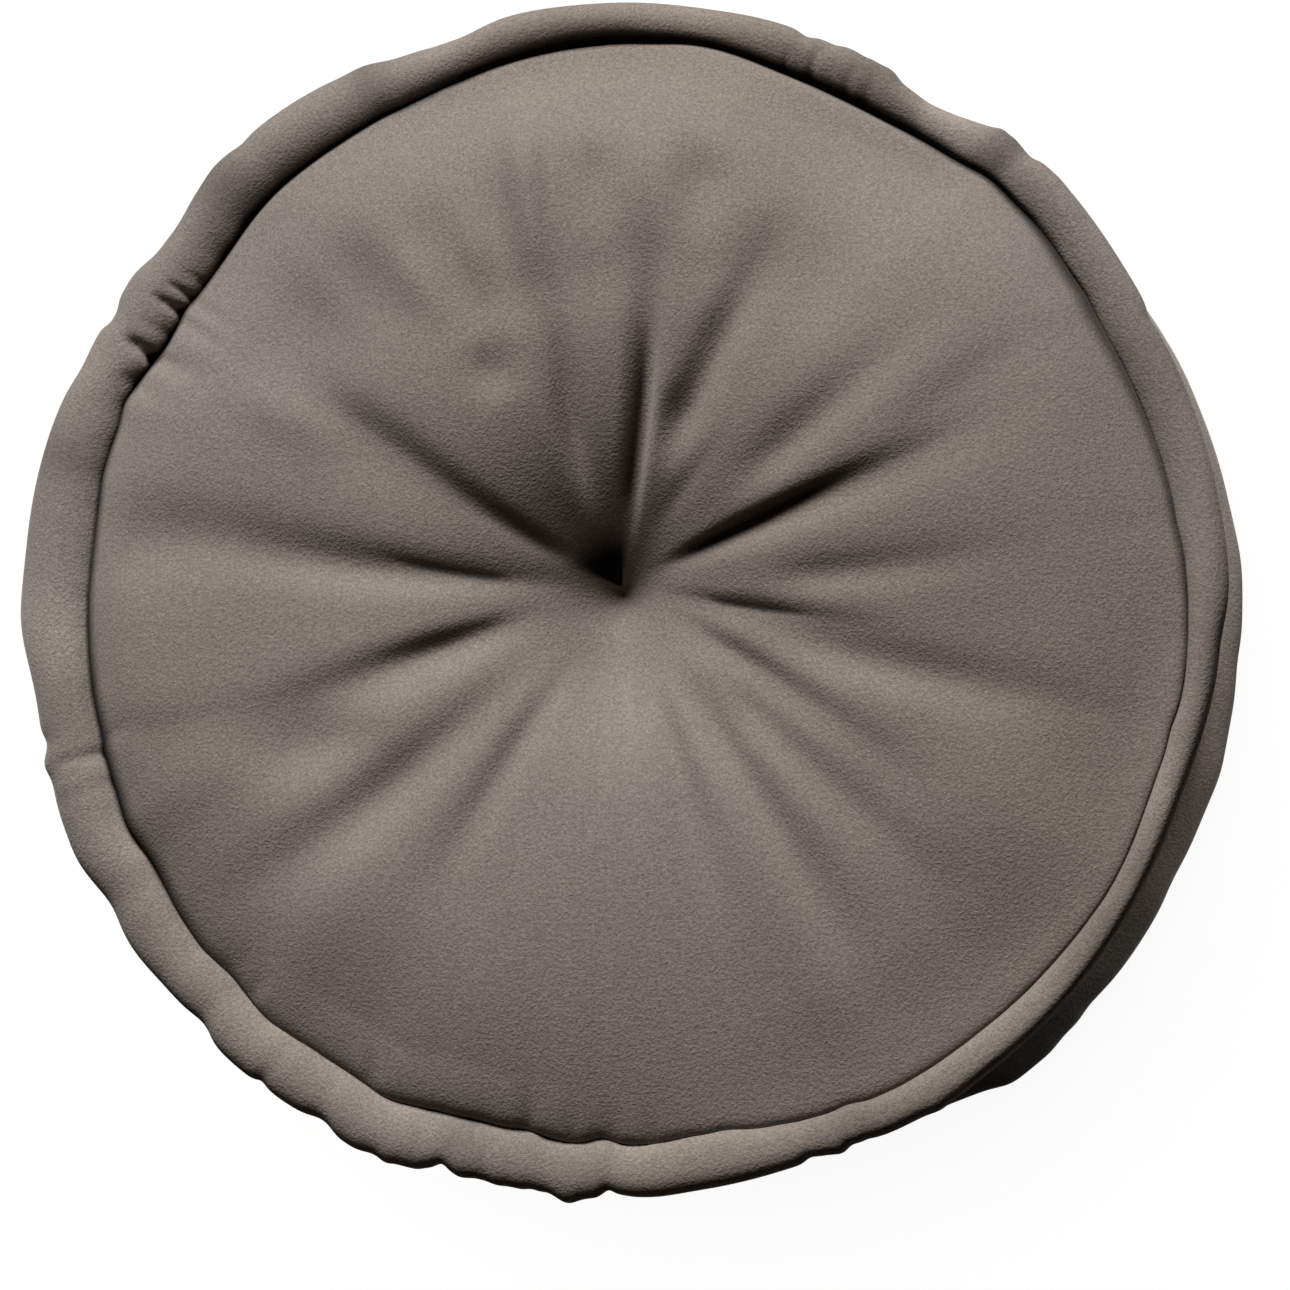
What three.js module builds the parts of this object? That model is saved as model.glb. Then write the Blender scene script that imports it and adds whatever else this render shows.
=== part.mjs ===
// A round floor pouf: one filled, tufted cushion body with a thick rolled edge
// sewn round its top panel and another round its bottom panel.
// Millimetres, +Z up. The origin is the middle of the floor under the pouf.
import * as THREE from 'three';

// ---- driving sizes -------------------------------------------------------
const SECTIONS = 90; // upright sections round the pouf
const SEWN_STEPS = 3; // steps round a roll where the body's cloth is sewn behind it
const OPEN_STEPS = 7; // steps round the rest of its section
const SEAM_CLEARANCE = 0.4; // cloth to cloth, body to rolled edge
const BOTTOM_SEAM_TURN = 144; // degrees round the bottom roll where its panel is sewn on
const BAND_TURN = 258; // degrees round either roll where the side band starts
const TOP_RING_Z = 130; // middle of the top roll
const BOTTOM_RING_Z = 12; // middle of the bottom roll
const BOTTOM_HIGH = 9; // half height of the bottom roll
const TUFT = { x: 1.7, y: 4 }; // where the top panel is pulled down
const CROWN = { high: 20, z: 135.5 }; // how far the filled panel stands above its seam
const BOWL = { x: 2, y: 1, deep: 32, reach: 110.8 }; // the wide hollow round the tuft
const FUNNEL = { deep: 10.3, reach: 22.9, round: 2 }; // the last sharp pull at the tuft
const RIM_FADE = 0.1; // share of the panel next to the seam with no folds
const RIM_SHARP = { least: 20, most: 160 };
const DIMPLE = { x: -2, y: 4, height: 12 };
const BAND_DRAW = 8; // how far the side band draws in at half height

// ---- rows round the pouf, one every ten degrees --------------------------
// seam: radius of the top panel's seam; edge: outer radius of the top roll;
// meet: degrees round the roll where the panel is sewn on; high: half height of
// the roll; lean: how much its outer side sits above its inner side; oval: 1
// where its section is a plain oval, less where its top is flatter
const TOP_ROWS = [
  { deg: 0, seam: 193.2, edge: 206.4, meet: 154, high: 7.2, lean: -0.1, oval: 0.95 }, { deg: 10, seam: 190.4, edge: 205.3, meet: 152, high: 5.4, lean: 1.4, oval: 1 },
  { deg: 20, seam: 188.2, edge: 203.7, meet: 152, high: 5.4, lean: 1.4, oval: 1 }, { deg: 30, seam: 187.1, edge: 203.1, meet: 148, high: 5.2, lean: 1.6, oval: 1 },
  { deg: 40, seam: 188.3, edge: 203.9, meet: 142, high: 5.9, lean: 1.9, oval: 1 }, { deg: 50, seam: 185.4, edge: 203, meet: 145, high: 6.8, lean: -0.4, oval: 1 },
  { deg: 60, seam: 183.4, edge: 197.5, meet: 148, high: 7, lean: 2.2, oval: 1 }, { deg: 70, seam: 184.5, edge: 200.2, meet: 148, high: 6.9, lean: 1.9, oval: 1 },
  { deg: 80, seam: 187.8, edge: 200.9, meet: 147, high: 7.1, lean: 0.3, oval: 1 }, { deg: 90, seam: 187.2, edge: 201.2, meet: 150, high: 9.5, lean: 1.2, oval: 1 },
  { deg: 100, seam: 185.2, edge: 201.3, meet: 144, high: 9.4, lean: 1.5, oval: 1 }, { deg: 110, seam: 182.2, edge: 199.4, meet: 147, high: 10.2, lean: -0.4, oval: 1 },
  { deg: 120, seam: 181.7, edge: 203.7, meet: 150, high: 10.2, lean: -0.4, oval: 1 }, { deg: 130, seam: 181.7, edge: 204.2, meet: 150, high: 10.2, lean: 1.1, oval: 1 },
  { deg: 140, seam: 178.1, edge: 201.9, meet: 151, high: 10.2, lean: 0.8, oval: 1 }, { deg: 150, seam: 178.7, edge: 202.8, meet: 158, high: 10.2, lean: -1.8, oval: 1 },
  { deg: 160, seam: 182.4, edge: 205.9, meet: 152, high: 8.5, lean: -1.4, oval: 1 }, { deg: 170, seam: 180.6, edge: 207.3, meet: 152, high: 8.5, lean: -1.8, oval: 1 },
  { deg: 180, seam: 181.5, edge: 206.2, meet: 152, high: 8.5, lean: -1.8, oval: 1 }, { deg: 190, seam: 182.1, edge: 204.4, meet: 152, high: 8.5, lean: -1.8, oval: 1 },
  { deg: 200, seam: 182.7, edge: 206.1, meet: 152, high: 8.5, lean: -1.8, oval: 1 }, { deg: 210, seam: 181.3, edge: 202.3, meet: 152, high: 8.5, lean: -1.8, oval: 1 },
  { deg: 220, seam: 183.3, edge: 202.3, meet: 146, high: 8, lean: -0.4, oval: 1 }, { deg: 230, seam: 184, edge: 203.9, meet: 146, high: 8, lean: -0.2, oval: 0.98 },
  { deg: 240, seam: 182.2, edge: 203.3, meet: 146, high: 8, lean: 0, oval: 0.95 }, { deg: 250, seam: 181.7, edge: 203.7, meet: 148, high: 7.8, lean: 0.2, oval: 0.92 },
  { deg: 260, seam: 181.2, edge: 201, meet: 148, high: 7.6, lean: 0.3, oval: 0.89 }, { deg: 270, seam: 182.4, edge: 200.3, meet: 148, high: 7.4, lean: 0.4, oval: 0.87 },
  { deg: 280, seam: 182.3, edge: 200.3, meet: 148, high: 7.4, lean: 0.4, oval: 0.86 }, { deg: 290, seam: 186.1, edge: 200, meet: 148, high: 7.4, lean: 0.4, oval: 0.84 },
  { deg: 300, seam: 190.1, edge: 202.4, meet: 148, high: 7.4, lean: 0.5, oval: 0.8 }, { deg: 310, seam: 191.4, edge: 203.2, meet: 148, high: 7.4, lean: 0.6, oval: 0.74 },
  { deg: 320, seam: 192.9, edge: 203.7, meet: 148, high: 7.4, lean: 0.6, oval: 0.7 }, { deg: 330, seam: 194.4, edge: 203.1, meet: 148, high: 7.4, lean: 0.5, oval: 0.72 },
  { deg: 340, seam: 193.3, edge: 202.4, meet: 150, high: 7.4, lean: 0, oval: 0.76 }, { deg: 350, seam: 194.6, edge: 204.1, meet: 152, high: 7.4, lean: -0.4, oval: 0.86 },
];
// the two radii of the bottom roll, one row every twenty degrees
const BOTTOM_ROWS = [
  { deg: 0, seam: 187, edge: 203.6 }, { deg: 20, seam: 186, edge: 203.1 }, { deg: 40, seam: 185, edge: 202.9 },
  { deg: 60, seam: 183, edge: 200.8 }, { deg: 80, seam: 183, edge: 200.7 }, { deg: 100, seam: 184, edge: 202 },
  { deg: 120, seam: 186, edge: 203.5 }, { deg: 140, seam: 184, edge: 202.2 }, { deg: 160, seam: 184, edge: 203 },
  { deg: 180, seam: 185, edge: 203 }, { deg: 200, seam: 185, edge: 202 }, { deg: 220, seam: 183, edge: 200.5 },
  { deg: 240, seam: 182, edge: 199.2 }, { deg: 260, seam: 181, edge: 198.5 }, { deg: 280, seam: 181, edge: 198 },
  { deg: 300, seam: 183, edge: 198.9 }, { deg: 320, seam: 186, edge: 203 }, { deg: 340, seam: 187, edge: 202.4 },
];
// gathers: where a roll's outer side or its seam swells or is nipped in
const TOP_GATHERS = [
  { deg: 46.5, spread: 2.7, edge: 0, seam: 1.4 }, { deg: 53.8, spread: 4.5, edge: -3.7, seam: 0 },
  { deg: 85, spread: 2.6, edge: 0, seam: -0.5 }, { deg: 104.9, spread: 3.2, edge: -1.9, seam: 0 },
  { deg: 139.8, spread: 3.3, edge: -2.2, seam: 0 }, { deg: 150, spread: 2.5, edge: 0, seam: -1 },
  { deg: 153, spread: 2.8, edge: 0, seam: -0.5 }, { deg: 166.5, spread: 2.4, edge: 0, seam: 0.8 },
  { deg: 170.5, spread: 2.8, edge: 0, seam: 0.5 }, { deg: 182, spread: 4.7, edge: 1.7, seam: 0 },
  { deg: 205, spread: 3, edge: 0, seam: 1.8 }, { deg: 205.8, spread: 3.5, edge: 2, seam: 0 },
  { deg: 215.1, spread: 4.1, edge: 1.9, seam: 0 }, { deg: 224.9, spread: 2.7, edge: -1.2, seam: 0 },
  { deg: 225, spread: 3.2, edge: 0, seam: -2.1 }, { deg: 246, spread: 3.8, edge: 0, seam: 2.4 },
  { deg: 266, spread: 2.5, edge: 0, seam: 1.1 }, { deg: 274, spread: 3.8, edge: 0, seam: 1.2 },
  { deg: 274.6, spread: 2.6, edge: 0.6, seam: 0 }, { deg: 305.2, spread: 2.5, edge: 0.5, seam: 0 },
  { deg: 354.9, spread: 2.6, edge: -0.8, seam: 0 },
];
const BOTTOM_GATHERS = [
  { deg: 5.2, spread: 4, edge: 0.6, seam: 0 }, { deg: 56, spread: 4, edge: -1.4, seam: 0 },
  { deg: 56, spread: 4, edge: 0, seam: -1 }, { deg: 75, spread: 3, edge: 0.7, seam: 0 },
  { deg: 112, spread: 3, edge: -0.9, seam: 0 }, { deg: 132, spread: 4, edge: 0, seam: 0.5 },
  { deg: 132, spread: 4, edge: 1.2, seam: 0 }, { deg: 171, spread: 3.5, edge: -1.4, seam: 0 },
  { deg: 171, spread: 3.5, edge: 0, seam: -1 }, { deg: 190, spread: 2.5, edge: 0.8, seam: 0 },
  { deg: 214, spread: 4, edge: 0, seam: 1 }, { deg: 214, spread: 4, edge: 0.9, seam: 0 },
  { deg: 230, spread: 2.4, edge: -0.8, seam: 0 }, { deg: 247, spread: 3.5, edge: -1, seam: 0 },
  { deg: 247, spread: 3.5, edge: 0, seam: -1 }, { deg: 271, spread: 2.6, edge: 0.5, seam: 0 },
  { deg: 304.5, spread: 4, edge: 2.4, seam: 0 }, { deg: 309, spread: 6, edge: 0, seam: 1 },
  { deg: 310.8, spread: 3, edge: 3.5, seam: 0 }, { deg: 332.4, spread: 3, edge: -1.1, seam: 0 },
  { deg: 344.2, spread: 3, edge: 0.7, seam: 0 }, { deg: 355, spread: 2.6, edge: -0.9, seam: 0 },
];
// how the panel rounds over towards its seam, one row every fifteen degrees:
// flat is how far out it stays level, round how blunt its shoulder is, sharp
// how suddenly it turns down to meet the roll
const RIM_ROWS = [
  { deg: 0, flat: 4.48, round: 1.1, sharp: 70 }, { deg: 15, flat: 7.63, round: 0.98, sharp: 50 },
  { deg: 30, flat: 9.51, round: 0.76, sharp: 60 }, { deg: 45, flat: 4.5, round: 0.82, sharp: 80 },
  { deg: 60, flat: 4.53, round: 2.07, sharp: 100 }, { deg: 75, flat: 6.58, round: 1.25, sharp: 110 },
  { deg: 90, flat: 8.53, round: 2.03, sharp: 110 }, { deg: 105, flat: 6.38, round: 1.55, sharp: 110 },
  { deg: 120, flat: 6.84, round: 1.15, sharp: 110 }, { deg: 135, flat: 6.66, round: 1.65, sharp: 110 },
  { deg: 150, flat: 5.68, round: 0.7, sharp: 80 }, { deg: 165, flat: 7.56, round: 0.7, sharp: 40 },
  { deg: 180, flat: 9.33, round: 0.75, sharp: 40 }, { deg: 195, flat: 10.87, round: 0.91, sharp: 45 },
  { deg: 210, flat: 5.7, round: 0.7, sharp: 60 }, { deg: 225, flat: 5.52, round: 0.94, sharp: 100 },
  { deg: 240, flat: 4.35, round: 0.86, sharp: 120 }, { deg: 255, flat: 4.01, round: 0.75, sharp: 120 },
  { deg: 270, flat: 2.98, round: 0.8, sharp: 120 }, { deg: 285, flat: 2.54, round: 1.16, sharp: 120 },
  { deg: 300, flat: 2.97, round: 1.31, sharp: 120 }, { deg: 315, flat: 3.41, round: 1.57, sharp: 120 },
  { deg: 330, flat: 4.96, round: 1.63, sharp: 120 }, { deg: 345, flat: 4.29, round: 1.91, sharp: 110 },
];
// folds drawn in by the tuft: where each starts and ends, measured from the
// tuft, how deep it is (a negative one stands proud), how wide its trough is
// at each end, how it leans to one side and how far along it is deepest
const FOLDS = [
  { degIn: 17, mmIn: 6, degOut: 21.1, mmOut: 173, deep: 4.2, wideIn: 2.3, wideOut: 11.4, lean: 0.19, peak: 0.33 },
  { degIn: -1.3, mmIn: 49, degOut: 3.9, mmOut: 158, deep: 1.9, wideIn: 5.1, wideOut: 8, lean: 0, peak: 0.25 },
  { degIn: 32.3, mmIn: 47, degOut: 39, mmOut: 166, deep: 3.1, wideIn: 5.8, wideOut: 11.5, lean: -0.04, peak: 0.26 },
  { degIn: 22.9, mmIn: 97, degOut: 30, mmOut: 185, deep: 1.9, wideIn: 9.2, wideOut: 13.4, lean: 0.18, peak: 0.38 },
  { degIn: 61.4, mmIn: 39, degOut: 61.8, mmOut: 143, deep: 4.6, wideIn: 6.2, wideOut: 7.5, lean: 0, peak: 0.24 },
  { degIn: 70, mmIn: 5, degOut: 81.4, mmOut: 121, deep: 7.9, wideIn: 2.6, wideOut: 6, lean: -0.22, peak: 0.5 },
  { degIn: 103.2, mmIn: 20, degOut: 96.7, mmOut: 103, deep: 4.5, wideIn: 3.8, wideOut: 6.8, lean: 0.08, peak: 0.4 },
  { degIn: 101.2, mmIn: 76, degOut: 99.8, mmOut: 176, deep: -6, wideIn: 6.3, wideOut: 7.3, lean: -0.06, peak: 0.59 },
  { degIn: 116.9, mmIn: 64, degOut: 117.9, mmOut: 91, deep: 2.4, wideIn: 7.6, wideOut: 9.4, lean: 0.1, peak: 0.5 },
  { degIn: 120.6, mmIn: 91, degOut: 123.8, mmOut: 163, deep: -2.8, wideIn: 6.3, wideOut: 11.1, lean: -0.04, peak: 0.46 },
  { degIn: 111.2, mmIn: 97, degOut: 110, mmOut: 150, deep: -2.4, wideIn: 5.3, wideOut: 8.3, lean: 0, peak: 0.47 },
  { degIn: 134.7, mmIn: 107, degOut: 132.8, mmOut: 167, deep: -1.2, wideIn: 6, wideOut: 8.3, lean: -0.04, peak: 0.54 },
  { degIn: 148.9, mmIn: 6, degOut: 147.9, mmOut: 136, deep: 4.7, wideIn: 3.1, wideOut: 16, lean: -0.32, peak: 0.68 },
  { degIn: 180.6, mmIn: 5, degOut: 170.7, mmOut: 183, deep: 4.7, wideIn: 2.8, wideOut: 13.9, lean: 0.05, peak: 0.43 },
  { degIn: 203.4, mmIn: 22, degOut: 199.9, mmOut: 154, deep: 5.1, wideIn: 3.9, wideOut: 13.1, lean: -0.15, peak: 0.32 },
  { degIn: 211.3, mmIn: 82, degOut: 205, mmOut: 148, deep: 4.4, wideIn: 7.8, wideOut: 15.9, lean: 0.05, peak: 0.49 },
  { degIn: 227, mmIn: 22, degOut: 219.3, mmOut: 188, deep: 4.9, wideIn: 5.6, wideOut: 14, lean: -0.04, peak: 0.51 },
  { degIn: 242.8, mmIn: 19, degOut: 240.2, mmOut: 137, deep: 3, wideIn: 3.9, wideOut: 9.1, lean: -0.07, peak: 0.38 },
  { degIn: 293.7, mmIn: 33, degOut: 287.2, mmOut: 131, deep: 3.8, wideIn: 5.1, wideOut: 7, lean: -0.1, peak: 0.28 },
  { degIn: 307.6, mmIn: 28, degOut: 302, mmOut: 189, deep: 5.2, wideIn: 4.9, wideOut: 11.5, lean: -0.07, peak: 0.28 },
  { degIn: 318, mmIn: 39, degOut: 317.5, mmOut: 180, deep: 3.1, wideIn: 5.9, wideOut: 10.4, lean: 0.12, peak: 0.22 },
  { degIn: 331.2, mmIn: 18, degOut: 326.3, mmOut: 140, deep: 3, wideIn: 4.5, wideOut: 9.2, lean: 0.22, peak: 0.28 },
  { degIn: 347.5, mmIn: 10, degOut: 349, mmOut: 118, deep: 2.3, wideIn: 2.9, wideOut: 9.3, lean: 0.35, peak: 0.37 },
  { degIn: 340.6, mmIn: 44, degOut: 345.3, mmOut: 187, deep: 3.2, wideIn: 6.8, wideOut: 10.6, lean: -0.02, peak: 0.33 },
  { degIn: 199.9, mmIn: 116, degOut: 197, mmOut: 186, deep: 1.3, wideIn: 7.8, wideOut: 10.8, lean: -0.23, peak: 0.63 },
  { degIn: 153, mmIn: 90, degOut: 151.2, mmOut: 158, deep: -2.1, wideIn: 7.1, wideOut: 9.6, lean: -0.08, peak: 0.47 },
  { degIn: 72.5, mmIn: 110, degOut: 76.7, mmOut: 154, deep: 6, wideIn: 8.7, wideOut: 14.4, lean: 0.12, peak: 0.56 },
  { degIn: 89.5, mmIn: 108, degOut: 90.5, mmOut: 151, deep: 2.7, wideIn: 6.5, wideOut: 10.6, lean: 0.05, peak: 0.59 },
  { degIn: 276.2, mmIn: 19, degOut: 277.9, mmOut: 100, deep: 2, wideIn: 5.2, wideOut: 5.5, lean: 0.04, peak: 0.37 },
  { degIn: 150.6, mmIn: 10, degOut: 150, mmOut: 67, deep: 1.4, wideIn: 2.7, wideOut: 4.6, lean: 0, peak: 0.38 },
];
// soft swells and hollows of the filling, measured from the tuft
const SWELLS = [
  { deg: 99.4, mm: 98, high: -2.2, long: 13, wide: 38 }, { deg: 139.3, mm: 132, high: -5.6, long: 23, wide: 37 },
  { deg: 173.6, mm: 100, high: -7, long: 37, wide: 53 }, { deg: 216.9, mm: 105, high: -3.3, long: 21, wide: 40 },
  { deg: 246.5, mm: 109, high: -1.9, long: 39, wide: 19 }, { deg: 288.7, mm: 94, high: -2.1, long: 32, wide: 53 },
  { deg: 325.4, mm: 111, high: -2.6, long: 26, wide: 20 }, { deg: 33.6, mm: 104, high: 6.3, long: 44, wide: 53 },
  { deg: 82, mm: 92, high: 8, long: 50, wide: 70 }, { deg: 88.2, mm: 50, high: 1.1, long: 23, wide: 21 },
  { deg: 134.4, mm: 56, high: 8, long: 50, wide: 37 }, { deg: 216.5, mm: 50, high: 2, long: 18, wide: 28 },
  { deg: 274.2, mm: 29, high: -8, long: 21, wide: 15 }, { deg: 324.7, mm: 65, high: -2.3, long: 26, wide: 19 },
  { deg: 30.7, mm: 51, high: 4.9, long: 33, wide: 36 }, { deg: 72.9, mm: 137, high: 8, long: 22, wide: 70 },
  { deg: 113.2, mm: 146, high: 3.3, long: 17, wide: 35 }, { deg: 174.7, mm: 160, high: -3.6, long: 29, wide: 15 },
  { deg: 246.4, mm: 169, high: -2, long: 30, wide: 53 }, { deg: 300.4, mm: 154, high: 0.4, long: 12, wide: 44 },
  { deg: 348.7, mm: 157, high: 2.2, long: 26, wide: 27 },
];
// rows across the top panel, from the tuft (0) to the seam (1)
const TOP_ACROSS = [0.05, 0.1, 0.16, 0.23, 0.31, 0.4, 0.5, 0.6, 0.7, 0.79, 0.87, 0.93, 0.97];
// rows across the underside, from the seam (1) to the dimple; drop is the
// share of the seam's height left, rise the share of the dimple's height
const UNDER_ACROSS = [
  { at: 0.97, drop: 0.61, rise: 0 }, { at: 0.93, drop: 0.23, rise: 0 },
  { at: 0.88, drop: 0, rise: 0 }, { at: 0.7, drop: 0, rise: 0 },
  { at: 0.45, drop: 0, rise: 0 }, { at: 0.25, drop: 0, rise: 0.01 },
  { at: 0.15, drop: 0, rise: 0.16 }, { at: 0.07, drop: 0, rise: 0.67 },
];
const BAND_ROWS = [0.2, 0.4, 0.6, 0.8]; // share of the way down the side band

// ---- helpers --------------------------------------------------------------
const rad = (deg) => (deg * Math.PI) / 180;
const turnBetween = (a, b) => ((((a - b) % 360) + 540) % 360) - 180;
const clamp01 = (t) => Math.min(1, Math.max(0, t));
const ease = (t) => t * t * (3 - 2 * t);

// smooth closed curve through one column of evenly spaced rows
function along(rows, column, deg) {
  const n = rows.length;
  const at = ((((deg % 360) + 360) % 360) / 360) * n;
  const k = Math.floor(at);
  const t = at - k;
  const p = [k - 1, k, k + 1, k + 2].map((i) => rows[(i + n) % n][column]);
  return p[1] + 0.5 * t * (p[2] - p[0]
    + t * (2 * p[0] - 5 * p[1] + 4 * p[2] - p[3] + t * (3 * (p[1] - p[2]) + p[3] - p[0])));
}

const gathered = (gathers, column, deg) => gathers.reduce(
  (sum, g) => sum + g[column] * Math.exp(-((turnBetween(deg, g.deg) / g.spread) ** 2)), 0);

// a sine or cosine made fuller, so that an oval becomes rather boxy
const bent = (part, oval) => Math.sign(part) * Math.abs(part) ** oval;

// the section of each roll in the upright plane at one angle
function rollAt(size, gathers, deg) {
  const half = (size.edge - size.seam - gathered(gathers, 'seam', deg))
    / (1 - bent(Math.cos(rad(size.meet)), size.oval));
  return { ...size, r: size.edge - half, halfWide: half, nip: gathered(gathers, 'edge', deg) };
}
const columnsAt = (rows, columns, deg) => Object.fromEntries(columns.map((c) => [c, along(rows, c, deg)]));
const topRoll = (deg) => rollAt(
  { ...columnsAt(TOP_ROWS, ['seam', 'edge', 'meet', 'high', 'lean', 'oval'], deg), z: TOP_RING_Z, side: 1 },
  TOP_GATHERS, deg);
const bottomRoll = (deg) => rollAt(
  { ...columnsAt(BOTTOM_ROWS, ['seam', 'edge'], deg), meet: BOTTOM_SEAM_TURN, high: BOTTOM_HIGH, lean: 0, oval: 1, z: BOTTOM_RING_Z, side: -1 },
  BOTTOM_GATHERS, deg);

// a point on that section, turn degrees round it from its outermost point and
// past its panel's side first, standing off it by clearance
function onRoll(roll, turn, clearance = 0) {
  const across = bent(Math.cos(rad(turn)), roll.oval);
  const up = bent(Math.sin(rad(turn)), roll.oval) * roll.side;
  return {
    r: roll.r + (roll.halfWide + clearance) * across + roll.nip * (0.5 + 0.5 * across) ** 3,
    z: roll.z + (roll.high + clearance) * up + roll.lean * across,
  };
}
// the turns its points stand at: first those sewn in behind it, then the open ones
const sewnTurn = (roll, i) => roll.meet + ((BAND_TURN - roll.meet) * i) / SEWN_STEPS;
const openTurn = (roll, i) => BAND_TURN + ((360 + roll.meet - BAND_TURN) * i) / OPEN_STEPS;

const around = (deg, p) => new THREE.Vector3(p.r * Math.cos(rad(deg)), p.r * Math.sin(rad(deg)), p.z);

// trough depth of all folds at a point given from the tuft
function foldDepth(deg, mm) {
  let depth = 0;
  for (const f of FOLDS) {
    const s = (mm - f.mmIn) / (f.mmOut - f.mmIn);
    if (s <= 0 || s >= 1) continue;
    const turn = turnBetween(deg, f.degIn + (f.degOut - f.degIn) * s);
    if (Math.abs(turn) > 85) continue;
    const wide = (f.wideIn + (f.wideOut - f.wideIn) * s) * Math.exp(turn > 0 ? -f.lean : f.lean);
    const fade = ease(s < f.peak ? s / f.peak : (1 - s) / (1 - f.peak));
    depth += f.deep * fade * Math.exp(-((Math.sin(rad(turn)) * mm / wide) ** 2));
  }
  return depth;
}

// height of all swells at a point given from the tuft
const swellHeight = (deg, mm) => SWELLS.reduce((sum, s) => {
  const aside = rad(deg - s.deg);
  return sum + s.high * Math.exp(-(((Math.cos(aside) * mm - s.mm) / s.long) ** 2)
    - ((Math.sin(aside) * mm / s.wide) ** 2));
}, 0);

// a ring-by-ring skin closed over its first and last point
function skinBetweenPoles(firstPole, rings, lastPole) {
  const points = [firstPole, ...rings.flat(), lastPole];
  const last = points.length - 1;
  const index = [];
  for (let k = 0; k < SECTIONS; k++) {
    const n = (k + 1) % SECTIONS;
    index.push(0, 1 + k, 1 + n);
    for (let ring = 0; ring + 1 < rings.length; ring++) {
      const a = 1 + ring * SECTIONS;
      const b = a + SECTIONS;
      index.push(a + k, b + k, b + n, a + k, b + n, a + n);
    }
    const end = 1 + (rings.length - 1) * SECTIONS;
    index.push(last, end + n, end + k);
  }
  return toGeometry(points, index);
}

// a tube closed on itself, one ring of points for each section
function skinRoundTube(rings) {
  const points = rings.flat();
  const across = rings[0].length;
  const index = [];
  for (let k = 0; k < rings.length; k++) {
    const n = (k + 1) % rings.length;
    for (let i = 0; i < across; i++) {
      const j = (i + 1) % across;
      const a = k * across + i, b = n * across + i;
      const c = k * across + j, d = n * across + j;
      index.push(a, b, d, a, d, c);
    }
  }
  return toGeometry(points, index);
}

function toGeometry(points, index) {
  const geometry = new THREE.BufferGeometry();
  geometry.setAttribute('position',
    new THREE.Float32BufferAttribute(points.flatMap((p) => [p.x, p.y, p.z]), 3));
  geometry.setIndex(index);
  geometry.computeVertexNormals();
  return geometry;
}

const degrees = Array.from({ length: SECTIONS }, (_, k) => (360 / SECTIONS) * k);
const ringOf = (place) => degrees.map((deg) => around(deg, place(deg)));
const steps = (count, first = 0) => Array.from({ length: count }, (_, i) => first + i);

// ---- the cushion body -------------------------------------------------------
const sewnRing = (roll, i) => ringOf((deg) => onRoll(roll(deg), sewnTurn(roll(deg), i), SEAM_CLEARANCE));
function topPanelPoint(deg, u) {
  const edge = onRoll(topRoll(deg), topRoll(deg).meet, SEAM_CLEARANCE);
  const rim = around(deg, edge);
  const x = TUFT.x + (rim.x - TUFT.x) * u;
  const y = TUFT.y + (rim.y - TUFT.y) * u;
  const mm = Math.hypot(x - TUFT.x, y - TUFT.y);
  const turn = THREE.MathUtils.radToDeg(Math.atan2(y - TUFT.y, x - TUFT.x));
  const sharp = THREE.MathUtils.clamp(along(RIM_ROWS, 'sharp', deg), RIM_SHARP.least, RIM_SHARP.most);
  const seamZ = CROWN.z + (edge.z - CROWN.z) * u ** sharp;
  const puff = CROWN.high * (1 - u ** along(RIM_ROWS, 'flat', deg)) ** along(RIM_ROWS, 'round', deg);
  const bowl = BOWL.deep * clamp01(1 - Math.hypot(x - BOWL.x, y - BOWL.y) / BOWL.reach) ** 2;
  const funnel = FUNNEL.deep * Math.exp(-Math.hypot(mm, FUNNEL.round) / FUNNEL.reach);
  const relief = (swellHeight(turn, mm) - foldDepth(turn, mm)) * clamp01((1 - u) / RIM_FADE);
  return new THREE.Vector3(x, y, seamZ + puff - bowl - funnel + relief);
}
function bandPoint(deg, share) {
  const from = onRoll(topRoll(deg), BAND_TURN, SEAM_CLEARANCE);
  const to = onRoll(bottomRoll(deg), BAND_TURN, SEAM_CLEARANCE);
  return around(deg, {
    r: from.r + (to.r - from.r) * share - BAND_DRAW * Math.sin(Math.PI * share),
    z: from.z + (to.z - from.z) * share,
  });
}
function underPoint(deg, row) {
  const edge = onRoll(bottomRoll(deg), BOTTOM_SEAM_TURN, SEAM_CLEARANCE);
  const rim = around(deg, edge);
  return new THREE.Vector3(
    DIMPLE.x + (rim.x - DIMPLE.x) * row.at,
    DIMPLE.y + (rim.y - DIMPLE.y) * row.at,
    edge.z * row.drop + DIMPLE.height * row.rise);
}

const tuftPoint = topPanelPoint(0, 0);
const bodyRings = [
  ...TOP_ACROSS.map((u) => degrees.map((deg) => topPanelPoint(deg, u))),
  ...steps(SEWN_STEPS + 1).map((i) => sewnRing(topRoll, i)),
  ...BAND_ROWS.map((share) => degrees.map((deg) => bandPoint(deg, share))),
  ...steps(SEWN_STEPS + 1).map((i) => sewnRing(bottomRoll, SEWN_STEPS - i)),
  ...UNDER_ACROSS.map((row) => degrees.map((deg) => underPoint(deg, row))),
];
const dimplePoint = new THREE.Vector3(DIMPLE.x, DIMPLE.y, DIMPLE.height);

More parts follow.
